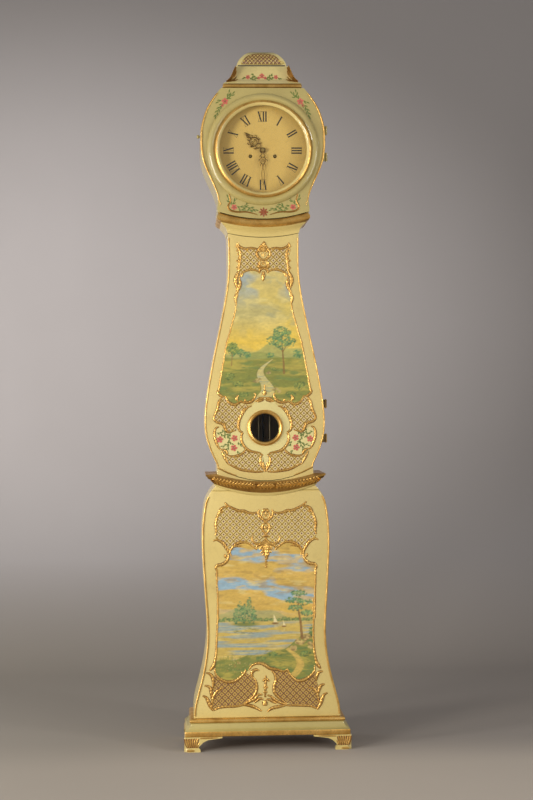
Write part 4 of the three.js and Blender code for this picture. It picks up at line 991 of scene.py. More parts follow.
@dataclass
class Scrollwork(Relief):
    """Gilt ribs over a wider umber lining, part dark outline and part painted shadow round them;
    the long ones carry leaves.
    """

    swell: float = 1.28
    leafy: float = 55.0
    lining: Relief = field(init=False)

    def __post_init__(self) -> None:
        """Starts the ribs and their umber lining of painted shadow."""
        super().__post_init__()
        self.lining = Relief(f"{self.name}_lining", self.face, 0.12, 0.1, 1)

    def table(self, rows: Table, both: bool = True) -> None:
        """Adds a table of ribs.

        Args:
            rows: their radii and paths.
            both: whether each has its mirror image too.
        """
        for radii, path in rows:
            full = tuple(radius * self.swell for radius in radii)
            length = sum(math.dist(start, end) for start, end in zip(path, path[1:]))
            for way, turn in ((path, 38), (mirrored(path), -38))[:1 + both]:
                self.rib(full, way, 3.5, 0.26)
                # the wider umber strand under each rib: a dark lining that is also painted shadow
                # round it
                self.lining.rib(tuple(radius * 1.2 + 1.1 for radius in full), way, 5.0)
                if length > self.leafy and max(radii) > 1.3:
                    self.leaves(way, 10.5, 6.4, 1.9, turn, True)

    def finish(self, body: Body) -> None:
        """Builds the ribs and the umber lining of painted shadow."""
        self.build(body)
        self.lining.build(body, Slot.PAINT, "umber")


@dataclass
class Trellis:
    """Diaper work: a ground panel, crossing slats at 45 degrees and a boss in each square."""

    name: str
    face: float
    regions: list[Path]
    pitch: float = 14.6
    slat: float = 1.35
    boss: float = 2.2
    onto: str = ""
    slat_finish: str = "old_gilt"
    ground_finish: str = "lilac"

    def _slats(self, polygon: Path, step: float) -> list[tuple[Point, Point]]:
        """The stretches of the crossing diagonals, a step apart, that lie in a polygon.

        Args:
            polygon: the outline that they fill.
            step: their spacing.

        Returns:
            Both ends of each stretch.
        """
        found: list[tuple[Point, Point]] = []
        sums = [z - x for x, z in polygon] + [z + x for x, z in polygon]
        for index in range(int(min(sums) // step), int(max(sums) // step) + 2):
            offset = index * step
            for sign in (1.0, -1.0):
                along: list[float] = []
                for (x0, z0), (x1, z1) in zip(polygon, [*polygon[1:], polygon[0]]):
                    d0, d1 = z0 - sign * x0 - offset, z1 - sign * x1 - offset
                    if (d0 > 0) != (d1 > 0):
                        along.append(x0 + (x1 - x0) * d0 / (d0 - d1))
                along.sort()
                found += [((a, sign * a + offset), (b, sign * b + offset))
                          for a, b in zip(along[::2], along[1::2])]
        return [(start, end) for start, end in found if math.dist(start, end) > 2.0]

    def build(self, body: Body) -> None:
        """Makes the ground, the slats and the bosses.

        Args:
            body: the body they ride on.
        """
        step = self.pitch * math.sqrt(2.0)
        half = step / 2
        slats = Relief(f"{self.name}_slats", self.face, 0.7, 0.6, 0)
        bosses = Relief(f"{self.name}_bosses", self.face, 0.6, 0.7, 0)
        grounds = []
        for number, polygon in enumerate(self.regions):
            if not self.onto:
                grounds.append(flat_panel(f"{self.name}_ground_{number}", polygon, self.face, 0.5))
            for start, end in self._slats(polygon, step):
                count = 1 + round(math.dist(start, end) / 3.0) if self.onto else 1
                line = [tuple(a + (b - a) * k / count for a, b in zip(start, end))
                        for k in range(count + 1)]
                slats.strand(line, [self.slat] * len(line))
            rows, columns = (range(int(min(axis) // half) - 1, int(max(axis) // half) + 2)
                             for axis in ([z for _, z in polygon], [x for x, _ in polygon]))
            for row in rows:
                for column in columns:
                    centre = (column * half, row * half)
                    if (row + column) % 2 and inside(centre, polygon):
                        bosses.oval(centre, (self.boss * 0.5, self.boss * 0.5), self.boss * 0.55,
                                    0.0, 6)
        if grounds:
            settle(joined(f"{self.name}_ground", grounds), body, self.ground_finish)
        slats.build(body, Slot.GILT, self.slat_finish, self.onto)
        bosses.build(body, Slot.PAINT, "plum", self.onto)


def bodies_of_nodes() -> dict[str, str]:
    """The body that carries each CAD node."""
    return {name: body_of(piece)[0] for name, piece in frame["nodes"].items()}


@dataclass(frozen=True)
class Banding:
    """A second finish on faces of a moulded piece, chosen by their middles in millimetres."""

    finish: str
    chosen: Callable[[Vector], bool]


BANDINGS = {
    "foot_front": Banding("cream", lambda at: True),
    "neck_moulding_front": Banding("cream", lambda at: at.y > -98.7),
    "neck_moulding": Banding("cream", lambda at: abs(at.x) < 135.0),
    "waist_moulding_front": Banding("cream", lambda at: at.y > -83.0),
    "waist_moulding": Banding("cream", lambda at: abs(at.x) < 164.5),
    "plinth": Banding("gilt", lambda at: at.z < 63.2 or at.z > 87.2),
    "bezel_ring": Banding("cream", lambda at: math.hypot(at.x, at.z - DIAL_HEIGHT) < 145.5),
}


def banding_of(name: str) -> Banding | None:
    """The second finish of a node, by the longest key that starts its name."""
    keys = [key for key in BANDINGS if name.startswith(key)]
    return BANDINGS[max(keys, key=len)] if keys else None


@dataclass
class Joinery:
    """Smooth copies of the CAD nodes, painted outside and bare inside."""

    bare_backs: tuple[str, ...] = ("trunk_door", "base_front_panel", "hood_door", "trunk_foot_rail",
                                   "neck_rail")
    bevelled: tuple[str, ...] = ("trunk_door", "base_front_panel", "hood_door", "plinth",
                                 "trunk_foot_rail", "neck_rail", "hood_cornice")
    rounding: float = 0.004

    def _faces_inward(self, name: str, centre: Vector, normal: Vector) -> bool:
        """Whether a face of a case board looks into the case.

        Args:
            name: the node's name.
            centre: the face's middle.
            normal: its direction.

        Returns:
            True for a bare inner face.
        """
        if name in self.bare_backs:
            return normal.y > 0.7
        if "_side_" in name:
            return normal.x * centre.x < -0.3 * abs(centre.x)
        return name == "back_board" and abs(normal.y) > 0.7

    def dress(self, name: str, body: str, slot: Slot) -> None:
        """Replaces one CAD node by its merged, smooth copy.

        Args:
            name: the node's name.
            body: the body it rides on.
            slot: its material slot.
        """
        node = frame["nodes"][name]
        piece = linked(f"{name}_finished", node.data.copy())
        if name in TAPERS:
            places = np.array([corner.co for corner in piece.data.vertices])
            draw_in(name, places)
            piece.data.vertices.foreach_set("co", places.ravel())
        edit_mesh(piece, lambda: bpy.ops.mesh.remove_doubles(threshold=0.00001),
                  lambda: bpy.ops.mesh.dissolve_limited(angle_limit=math.radians(0.4)))
        if name in self.bevelled:
            self._round_edges(piece, name in ("plinth", "hood_cornice"))
        finish = self._finish_of(name, slot)
        banding = banding_of(name)
        piece.data.materials.clear()
        piece.data.materials.append(material_of(finish))
        piece.data.materials.append(material_of(banding.finish if banding else "pine"))
        for face in piece.data.polygons:
            inner = slot is Slot.PAINT and self._faces_inward(name, face.center, face.normal)
            chosen = banding.chosen(face.center / MM) if banding else inner
            face.material_index = int(chosen)
        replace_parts(piece, name)
        settle(piece, body, finish, 38.0)

    def _round_edges(self, piece: Piece, level_too: bool) -> None:
        """Rounds a board's sharp edges.

        Args:
            piece: the merged board.
            level_too: whether its level edges are rounded as its upright ones are.
        """
        bpy.ops.object.mode_set(mode="EDIT")
        bpy.ops.mesh.select_mode(type="EDGE")
        bpy.ops.mesh.select_all(action="DESELECT")
        bpy.ops.mesh.edges_select_sharp(sharpness=math.radians(50))
        bpy.ops.object.mode_set(mode="OBJECT")
        corners = piece.data.vertices
        for edge in piece.data.edges:
            way = corners[edge.vertices[1]].co - corners[edge.vertices[0]].co
            if not level_too and abs(way.z) < 0.6 * way.length:
                edge.select = False
        bpy.ops.object.mode_set(mode="EDIT")
        bpy.ops.transform.edge_bevelweight(value=1.0)
        bpy.ops.mesh.select_mode(type="VERT")
        bpy.ops.object.mode_set(mode="OBJECT")
        bevel = piece.modifiers.new("edge", "BEVEL")
        bevel.width, bevel.segments, bevel.limit_method = self.rounding, 3, "WEIGHT"
        bpy.ops.object.modifier_apply(modifier="edge")

    def _finish_of(self, name: str, slot: Slot) -> str:
        """The finish of a node: its own, or the plain one of its slot.

        Args:
            name: the node's name.
            slot: its material slot.

        Returns:
            The finish's key.
        """
        if name == "dial":
            return "parchment"
        if name in ("hood_cove", "crest_cap"):
            return "dusky_cream"
        # The head's painted parts, the dial surround and the plinth take the cream darkened as
        # painted shade.
        if name.startswith(("dial_bezel", "hood_", "plinth")) and slot is not Slot.GILT:
            return "hood_cream"
        if name.startswith("waist_moulding"):
            return "carved_gilt"
        if "hinge" in name:
            return "bronze"
        return "cream" if slot is Slot.PAINT else slot.name.lower()

    def build(self) -> None:
        """Dresses every CAD node but the hands and the gut lines, which are made anew."""
        slots = {part["node"]: Slot(part["material_slot"]) for part in frame["record"]["subparts"]}
        for name, body in bodies_of_nodes().items():
            if not name.endswith("_hand") and not name.startswith("line_"):
                self.dress(name, body, slots[name])


@dataclass
class GutLine:
    """A gut line: a fall from the drum, a bend under the pulley and a fall from the seat board."""

    word: str
    side: int
    spread: float = 39.0
    offset: float = 21.2
    depth: float = -21.0
    radius: float = 0.9
    rest: float = 945.0
    rise: float = 700.0
    heads: tuple[float, float] = (1878.0, 1696.9)

    def _tube(self, part: str, path: Path, body: str) -> Piece:
        """Makes one stretch of the line."""
        tube = Relief(f"gut_{self.word}_{part}", self.depth, 1.0, 0.0)
        tube.strand(path, [self.radius] * len(path))
        return tube.build(body, Slot.GUT, "gut")

    def build(self) -> None:
        """Makes the three stretches: the bend rides on the weight, the falls on the case."""
        middle = self.side * self.spread
        bend = [(middle + self.side * self.offset * math.cos(math.pi * step / 16),
                 self.rest - self.offset * math.sin(math.pi * step / 16)) for step in range(17)]
        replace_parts(self._tube("bend", bend, f"weight_{self.word}"), f"line_{self.word}")
        for part, out, head in zip(("outer", "inner"), (1, -1), self.heads):
            x = middle + out * self.side * self.offset
            fall = self._tube(part, [(x, self.rest), (x, head)], Body.CASE.value)
            (head - self.rest - self.rise) / (head - self.rest)
            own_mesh(fall)


def front_edge(name: str, face: float) -> list[Point]:
    """Reads the right-hand outline of a board's front face from its CAD node.

    Args:
        name: the node's name.
        face: the y of its front face in millimetres.

    Returns:
        Points from the foot to the top, in millimetres.
    """
    mesh = frame["nodes"][name].data
    widest: dict[float, float] = {}
    for side in mesh.polygons:
        if side.normal.x < 0.2:
            continue
        for number in side.vertices:
            x, y, z = (value / MM for value in mesh.vertices[number].co)
            if abs(y - face) < 0.05 and x > 0:
                level = round(z, 1)
                widest[level] = max(widest.get(level, 0.0), x)
    return [(widest[level], level) for level in sorted(widest)]


def between(path: Path, low: float, high: float) -> list[Point]:
    """The stretch of an upward path between two heights, with its ends cut there.

    Args:
        path: the path, from the foot up.
        low: the lower height.
        high: the upper height.

    Returns:
        The stretch's points.
    """
    xs, levels = zip(*path)
    ends = [(float(np.interp(level, levels, xs)), min(max(level, levels[0]), levels[-1]))
            for level in (low, high)]
    return [ends[0], *[point for point in path if low < point[1] < high], ends[1]]


VARNISH = (0.93, 0.88, 0.66)


@dataclass
class Canvas:
    """A picture painted in layers on a fine grid over its frame's box."""

    low: Point
    high: Point
    cell: float = 1.9
    seed: int = 3
    x: np.ndarray = field(init=False)
    z: np.ndarray = field(init=False)
    colour: np.ndarray = field(init=False)
    draws: np.random.Generator = field(init=False)

    def __post_init__(self) -> None:
        """Lays out the grid's corner points, from the foot up."""
        columns = int(round((self.high[0] - self.low[0]) / self.cell)) + 1
        rows = int(round((self.high[1] - self.low[1]) / self.cell)) + 1
        across = np.linspace(self.low[0], self.high[0], columns)
        up = np.linspace(self.low[1], self.high[1], rows)
        self.x, self.z = np.meshgrid(across, up)
        self.colour = np.ones((rows, columns, 3)) * 0.5
        self.draws = np.random.default_rng(self.seed)

    @property
    def rise(self) -> np.ndarray:
        """Each point's height as a share of the canvas."""
        return (self.z - self.low[1]) / (self.high[1] - self.low[1])

    def mottle(self, wide: float, tall: float) -> np.ndarray:
        """Smooth random patches between zero and one.

        Args:
            wide: the patches' width in millimetres.
            tall: their height.

        Returns:
            The pattern over the grid.
        """
        total, weight = np.zeros_like(self.x), 0.0
        for octave in range(3):
            across = (self.x - self.low[0]) / wide * 2 ** octave
            up = (self.z - self.low[1]) / tall * 2 ** octave
            table = self.draws.random((int(up.max()) + 3, int(across.max()) + 3))
            column, row = across.astype(int), up.astype(int)
            u, v = across - column, up - row
            u, v = u * u * (3 - 2 * u), v * v * (3 - 2 * v)
            value = (table[row, column] * (1 - u) * (1 - v) + table[row, column + 1] * u * (1 - v)
                     + table[row + 1, column] * (1 - u) * v + table[row + 1, column + 1] * u * v)
            total += value / 2 ** octave
            weight += 1 / 2 ** octave
        return total / weight

    def wash(self, mask: np.ndarray, colour: Colour, strength: float = 1.0) -> None:
        """Lays a colour over the canvas where the mask is above zero."""
        share = (np.clip(mask, 0, 1) * strength)[..., None]
        self.colour = self.colour * (1 - share) + np.array(colour) * share

    def tint(self, mask: np.ndarray | float, *layers: tuple) -> None:
        """Washes random patches over a mask.

        Args:
            mask: where they show.
            layers: for each the patches' width, height, least mottle and gain, colour, strength.
        """
        for wide, tall, low, gain, colour, strength in layers:
            patches = np.clip((self.mottle(wide, tall) - low) * gain, 0, 1)
            self.wash(patches * mask, colour, strength)

    def below(self, line: Callable[[np.ndarray], np.ndarray], soft: float = 2.0) -> np.ndarray:
        """A mask of what lies under a line of heights in millimetres."""
        return np.clip((line(self.x) - self.z) / soft + 0.5, 0, 1)

    def blot(self, centre: Point, wide: float, tall: float, soft: float = 0.35,
             turn: float = 0.0) -> np.ndarray:
        """A soft oval mask.

        Args:
            centre: its middle.
            wide: its half-width.
            tall: its half-height.
            soft: the share of its reach over which it fades.
            turn: its turn in radians.

        Returns:
            The mask over the grid.
        """
        dx, dz = self.x - centre[0], self.z - centre[1]
        c, s = math.cos(turn), math.sin(turn)
        reach = np.hypot((dx * c + dz * s) / wide, (dz * c - dx * s) / tall)
        return np.clip((1 - reach) / soft, 0, 1)

    def dabs(self, count: int, centre: Point, spread: Point, size: Point,
             colours: Sequence[Colour], strength: float = 0.85, lean: float = 0.6) -> None:
        """Paints many short brush dabs round a point.

        Args:
            count: how many.
            centre: the middle of the group.
            spread: how far they scatter each way.
            size: the length and width of a dab.
            colours: the paints to pick from.
            strength: how much each covers.
            lean: the largest turn of a dab.
        """
        for _ in range(count):
            angle, reach = self.draws.random() * math.tau, math.sqrt(self.draws.random())
            place = (centre[0] + spread[0] * reach * math.cos(angle),
                     centre[1] + spread[1] * reach * math.sin(angle))
            grow = 0.6 + 0.8 * self.draws.random()
            turn = (self.draws.random() * 2 - 1) * lean
            paint = colours[int(self.draws.random() * len(colours))]
            self.wash(self.blot(place, size[0] * grow, size[1] * grow, 0.6, turn), paint, strength)

    def limb(self, path: Path, widths: Sequence[float], colour: Colour) -> None:
        """Paints a tapering trunk or branch along a path.

        Args:
            path: its middle line.
            widths: half its width at each point.
            colour: its paint.
        """
        for (x0, z0), (x1, z1), w0, w1 in zip(path, path[1:], widths, widths[1:]):
            along = ((self.x - x0) * (x1 - x0) + (self.z - z0) * (z1 - z0))
            t = np.clip(along / ((x1 - x0) ** 2 + (z1 - z0) ** 2), 0, 1)
            away = np.hypot(self.x - x0 - t * (x1 - x0), self.z - z0 - t * (z1 - z0))
            self.wash((w0 + (w1 - w0) * t - away) / 1.2 + 0.5, colour, 0.9)

    def tree(self, foot: Point, height: float, crown: float, light: Colour, dark: Colour,
             lean: float = 0.0, stem: Colour = (0.27, 0.17, 0.06)) -> None:
        """Paints a leafy tree: a forked stem and a crown of dabs, dark below and light above.

        Args:
            foot: where it stands.
            height: its height.
            crown: the crown's reach.
            light: the paint of the lit leaves.
            dark: the paint of the shaded ones.
            lean: how far its top leans.
            stem: the paint of its wood.
        """
        x, z = foot
        top = (x + lean, z + height)
        fork = (x + lean * 0.5, z + height * 0.5)
        self.limb([foot, (x + lean * 0.15, z + height * 0.25), fork, top],
                  [crown * 0.085, crown * 0.06, crown * 0.045, 0.6], stem)
        for side in (-1, 1):
            self.limb([fork, (fork[0] + side * crown * 0.5, fork[1] + height * 0.28)],
                      [crown * 0.04, 0.5], stem)
        clumps = [(0.0, 0.98, 0.55), (-0.5, 0.78, 0.5), (0.55, 0.74, 0.48), (0.05, 0.68, 0.5),
                  (-0.25, 0.9, 0.42), (0.35, 0.93, 0.36)]
        for across, up, size in clumps:
            middle = (top[0] + across * crown, z + height * up)
            self.bush(middle, (crown * size, crown * size * 0.7), light, dark, 0.95)

    def bush(self, centre: Point, reach: Point, light: Colour, dark: Colour,
             fill: float = 1.0) -> None:
        """Paints one leafy mass: deep shade, mid tone above it and lights towards the top.

        Args:
            centre: its middle.
            reach: its half-width and half-height.
            light: the paint of the lit leaves.
            dark: the paint of the shaded ones.
            fill: how densely it is dabbed.
        """
        deep = tuple(value * 0.62 for value in dark)
        area = reach[0] * reach[1]
        self.dabs(int(area / 9 * fill) + 8, centre, reach, (4.2, 2.7), [dark, deep], 0.85)
        middle = (centre[0] - reach[0] * 0.05, centre[1] + reach[1] * 0.14)
        self.dabs(int(area / 13 * fill) + 6, middle, (reach[0] * 0.86, reach[1] * 0.8), (3.4, 2.0),
                  [dark, tuple((a + b) / 2 for a, b in zip(light, dark))], 0.8)
        high = (centre[0] - reach[0] * 0.1, centre[1] + reach[1] * 0.36)
        self.dabs(int(area / 16 * fill) + 5, high, (reach[0] * 0.74, reach[1] * 0.55), (2.8, 1.5),
                  [light, light, dark], 0.75)

    def strokes(self, wide: float, tall: float, strength: float) -> None:
        """Works brush strokes over the whole picture, lighter and darker by turns."""
        share = (self.mottle(wide, tall) - 0.5) * 2 * strength
        warm = np.array((1.0, 0.96, 0.8))
        self.colour = self.colour * (1 + share[..., None] * warm)

    def build(self, name: str, outline: Path, face: float, body: Body,
              onto: str = "") -> Piece:
        """Makes the painted sheet that fills an outline.

        Args:
            name: the piece's name.
            outline: the frame's inner edge, in millimetres.
            face: the board's front face.
            body: the body it rides on.
            onto: the node whose curved front it follows, in place of the flat face.

        Returns:
            The finished piece.
        """
        rows, columns = self.x.shape
        middle_x = (self.x[:-1, :-1] + self.x[1:, 1:]) / 2
        middle_z = (self.z[:-1, :-1] + self.z[1:, 1:]) / 2
        kept = np.zeros(middle_x.shape, bool)
        for (x0, z0), (x1, z1) in zip(outline, [*outline[1:], outline[0]]):
            if z0 != z1:
                crosses = (z0 > middle_z) != (z1 > middle_z)
                kept ^= crosses & (middle_x < (x1 - x0) * (middle_z - z0) / (z1 - z0) + x0)
        numbers = np.arange(rows * columns).reshape(rows, columns)
        corners = np.stack([numbers[:-1, :-1], numbers[:-1, 1:], numbers[1:, 1:],
                            numbers[1:, :-1]], -1)[kept]
        used, compact = np.unique(corners, return_inverse=True)
        compact = compact.reshape(corners.shape)
        flat_x, flat_z = self.x.ravel()[used], self.z.ravel()[used]
        points = np.stack([flat_x, np.full(len(used), face * (not onto) - 0.5), flat_z], -1) * MM
        if onto:
            Surface(onto).lay(points)
        piece = mesh_piece(name, points.tolist(), compact.tolist())
        paint = piece.data.color_attributes.new("paint", "FLOAT_COLOR", "POINT")
        values = np.ones((len(used), 4))
        values[:, :3] = np.clip(self.colour.reshape(-1, 3)[used] * VARNISH, 0, 1)
        paint.data.foreach_set("color", values.ravel())
        depth = {"value": (0.0, 0.0009, 0.0)}
        edit_mesh(piece, lambda: bpy.ops.mesh.extrude_region_move(TRANSFORM_OT_translate=depth),
                  lambda: bpy.ops.mesh.normals_make_consistent(inside=False))
        return settle(piece, body, "picture")


SKY_BLUE = (0.27, 0.36, 0.52)
SKY_LIGHT = (0.47, 0.42, 0.2)
CLOUD_YELLOW = (0.64, 0.5, 0.12)
HAZE_GOLD = (0.7, 0.49, 0.06)
FAR_GREEN = (0.26, 0.33, 0.14)
MID_GREEN = (0.21, 0.26, 0.075)
NEAR_GREEN = (0.2, 0.22, 0.05)
DEEP_GREEN = (0.075, 0.115, 0.035)
LEAF_TEAL = (0.1, 0.24, 0.12)
WATER_PALE = (0.54, 0.47, 0.22)
WATER_BLUE = (0.24, 0.32, 0.3)
SAND = (0.58, 0.41, 0.12)


def paint_meadow() -> None:
    """Paints the trunk's picture: an oak above a winding brook, round bushes and far hills."""
    half = TRUNK_PICTURE_HALF
    outline = [*half, *reversed(mirrored(half))]
    xs, zs = [x for x, _ in outline], [z for _, z in outline]
    art = Canvas((min(xs), min(zs)), (max(xs), max(zs)), seed=11)
    art.wash(np.ones_like(art.x), SKY_LIGHT)
    art.wash((art.rise - 0.7) * 4.5, SKY_BLUE, 0.8)
    sky = art.rise > 0.4
    art.tint(sky, (78, 58, 0.47, 6, CLOUD_YELLOW, 0.75), (48, 30, 0.55, 8, (0.63, 0.55, 0.26), 0.7),
             (40, 22, 0.58, 8, (0.36, 0.37, 0.26), 0.6))
    art.wash(1 - np.abs(art.rise - 0.46) * 5.0, HAZE_GOLD, 0.85)
    art.wash(art.below(lambda x: 1268 + 15 * np.sin(x / 38 + 0.6) + 7 * np.sin(x / 15), 4),
             FAR_GREEN, 0.65)
    art.wash(art.below(lambda x: 1249 + 9 * np.sin(x / 26 + 2.2), 4), MID_GREEN, 0.6)
    for x, z, wide, tall in ((-98, 1262, 17, 17), (-74, 1256, 15, 13), (-52, 1250, 12, 9),
                             (18, 1248, 12, 8), (104, 1250, 14, 14)):
        art.bush((x, z), (wide, tall), (0.34, 0.4, 0.12), LEAF_TEAL)
    art.wash(art.below(lambda x: 1237 + 3 * np.sin(x / 30), 3), NEAR_GREEN, 0.95)
    art.tint(art.below(lambda x: 1235, 3), (64, 12, 0.45, 5, (0.42, 0.36, 0.085), 0.8),
             (40, 9, 0.55, 7, (0.15, 0.22, 0.07), 0.8))
    brook = 22 * np.sin((art.z - 1100) / 21) + (art.z - 1170) * 0.35
    width = np.clip((1238 - art.z) / 5.0, 0, 30) + 3.0
    stream = np.clip((width - np.abs(art.x - brook)) / 3, 0, 1) * (art.z < 1235)
    art.wash(stream, WATER_PALE, 0.95)
    art.tint(stream, (36, 4, 0.5, 6, WATER_BLUE, 0.6), (30, 5, 0.58, 8, (0.66, 0.56, 0.24), 0.7))
    art.wash(np.clip(1 - np.abs(np.abs(art.x - brook) - width) / 3.0, 0, 1) * (art.z < 1233),
             (0.13, 0.13, 0.03), 0.6)
    for x, z, wide, tall in ((-110, 1182, 16, 12), (-84, 1158, 18, 9), (-64, 1124, 15, 8),
                             (112, 1150, 20, 13), (82, 1122, 17, 8), (30, 1204, 10, 5)):
        art.bush((x, z), (wide, tall), (0.36, 0.38, 0.1), (0.12, 0.19, 0.055))
    for x, z in ((34, 1140), (46, 1132), (-18, 1172), (-26, 1166), (12, 1192)):
        art.dabs(12, (x, z), (8, 4), (4.6, 2.8), [(0.46, 0.37, 0.17), (0.24, 0.18, 0.08)],
                 lean=0.3)
    art.tree((62, 1192), 132, 46, (0.38, 0.43, 0.12), LEAF_TEAL, -7, (0.22, 0.13, 0.04))
    art.tree((-104, 1216), 66, 24, (0.4, 0.4, 0.09), (0.13, 0.22, 0.07), 5)
    art.dabs(300, (0, 1150), (135, 70), (5.0, 1.1), [NEAR_GREEN, (0.4, 0.36, 0.09), DEEP_GREEN],
             0.35, 0.5)
    art.strokes(9, 4, 0.16)
    art.strokes(26, 12, 0.12)
    art.build("meadow_picture", outline, -76.0, Body.TRUNK_DOOR)


def near_shore(x: np.ndarray) -> np.ndarray:
    """The height of the lake's near shore."""
    return (306 + 34 * np.clip((x - 20) / 130, 0, 1) ** 1.4 * 1.6
            - 26 * np.clip((20 - x) / 170, -1, 1) + 4 * np.sin(x / 13))


def paint_lake() -> None:
    """Paints the lower case's picture: a lake with two sails, an isle of poplars and a pine."""
    top = [*BASE_PICTURE_TOP_HALF, *BASE_PICTURE_FOOT[1:-1]]
    outline = [*top, *reversed(mirrored(BASE_PICTURE_TOP_HALF))]
    xs, zs = [x for x, _ in outline], [z for _, z in outline]
    art = Canvas((min(xs), min(zs)), (max(xs), max(zs)), seed=23)
    art.wash(np.ones_like(art.x), (0.56, 0.385, 0.105))
    slope = art.z + art.x * 0.16
    bands = art.mottle(120, 34) + 0.24 * np.sin(slope / 15.5)
    sky = np.clip((art.rise - 0.44) * 7, 0, 1)
    art.wash(np.clip((bands - 0.51) * 8, 0, 1) * sky, (0.25, 0.41, 0.66), 0.95)
    art.tint(sky, (46, 13, 0.52, 7, (0.62, 0.42, 0.13), 0.7),
             (52, 12, 0.57, 8, (0.38, 0.25, 0.075), 0.6), (44, 9, 0.6, 8, (0.64, 0.53, 0.26), 0.6))
    art.wash(1 - np.abs(art.rise - 0.42) * 7, (0.66, 0.45, 0.09), 0.75)
    art.wash(art.below(lambda x: 430 + 18 * np.sin(x / 60 + 2.6) + 5 * np.sin(x / 17), 4),
             (0.33, 0.34, 0.17), 0.75)
    for x in range(-150, 160, 19):
        art.bush((x, 408 + x % 5), (11, 5.5), (0.33, 0.36, 0.12), (0.13, 0.22, 0.09), 0.8)
    lake = art.below(lambda x: 404, 2)
    art.wash(lake, (0.52, 0.39, 0.115), 0.97)
    art.tint(lake, (120, 8, 0.46, 6, (0.24, 0.34, 0.44), 0.85),
             (90, 4, 0.56, 8, (0.62, 0.52, 0.24), 0.65))
    art.wash(art.blot((-66, 396), 52, 9, 0.5), (0.17, 0.2, 0.06), 0.95)
    for x, tall in ((-98, 50), (-84, 74), (-70, 62), (-55, 84), (-41, 52)):
        art.bush((x, 399 + tall / 2), (8.5, tall / 2), (0.32, 0.4, 0.16), (0.09, 0.22, 0.12), 0.9)
    art.dabs(60, (-66, 376), (44, 12), (6.0, 1.2), [DEEP_GREEN, (0.2, 0.24, 0.1)], 0.5, 0.1)
    for x, z, tall in ((22, 398, 30), (52, 388, 20)):
        sail = (art.x > x) & (art.z > z + 2) & (art.x - x < (z + tall - art.z) * 0.5)
        art.wash(sail.astype(float), (0.72, 0.64, 0.42), 0.95)
        art.wash(art.blot((x + tall * 0.16, z), tall * 0.46, 3.2, 0.4), (0.2, 0.1, 0.035), 0.95)
        art.wash(art.blot((x + tall * 0.2, z - 10), tall * 0.2, 7, 0.9), (0.64, 0.56, 0.34), 0.5)
    land = art.below(near_shore, 3)
    art.wash(land, NEAR_GREEN, 0.97)
    art.tint(land, (40, 9, 0.5, 6, (0.42, 0.36, 0.085), 0.8),
             (34, 8, 0.54, 7, (0.12, 0.2, 0.07), 0.8))
    trail = 60 + 46 * np.sin((art.z - 214) / 34)
    art.wash(np.clip((9 + (330 - art.z) * 0.07 - np.abs(art.x - trail)) / 3, 0, 1)
             * art.below(lambda x: near_shore(x) - 3, 2), SAND, 0.9)
    stones = [(0.46, 0.34, 0.15), (0.24, 0.16, 0.07), (0.58, 0.45, 0.2)]
    for x, z, size in ((128, 352, 18), (104, 338, 14), (144, 326, 18), (84, 318, 10)):
        art.dabs(26, (x, z), (size, size * 0.62), (6.4, 4.0), stones, 0.9, 0.4)
    for x, z, wide, tall in ((148, 372, 14, 18), (122, 300, 16, 9), (20, 300, 13, 7),
                             (-20, 286, 18, 8)):
        art.bush((x, z), (wide, tall), (0.33, 0.38, 0.11), (0.1, 0.19, 0.07))
    art.limb([(112, 350), (108, 400), (100, 446), (104, 486)], [4.4, 3.6, 2.6, 1.2],
             (0.22, 0.12, 0.04))
    for x, z, wide in ((104, 492, 26), (84, 470, 28), (124, 464, 28), (94, 446, 26),
                       (128, 430, 22)):
        art.bush((x, z), (wide, 9.5), (0.33, 0.42, 0.16), (0.1, 0.23, 0.12), 1.2)
    for x in range(-152, -30, 4):
        tall = 24 + 18 * art.draws.random()
        foot = 250 + 12 * art.draws.random()
        art.limb([(x, foot), (x + 3, foot + tall)], [1.5, 0.7], (0.19, 0.22, 0.06))
    art.dabs(420, (0, 270), (165, 48), (5.0, 1.2), [NEAR_GREEN, (0.38, 0.34, 0.09), DEEP_GREEN],
             0.4, 0.6)
    art.dabs(50, (-70, 262), (70, 20), (1.9, 1.7), [(0.66, 0.5, 0.25), (0.58, 0.2, 0.1)], 0.7)
    art.strokes(9, 4, 0.16)
    art.strokes(30, 12, 0.12)
    art.build("lake_picture", outline, -76.0, Body.CASE)


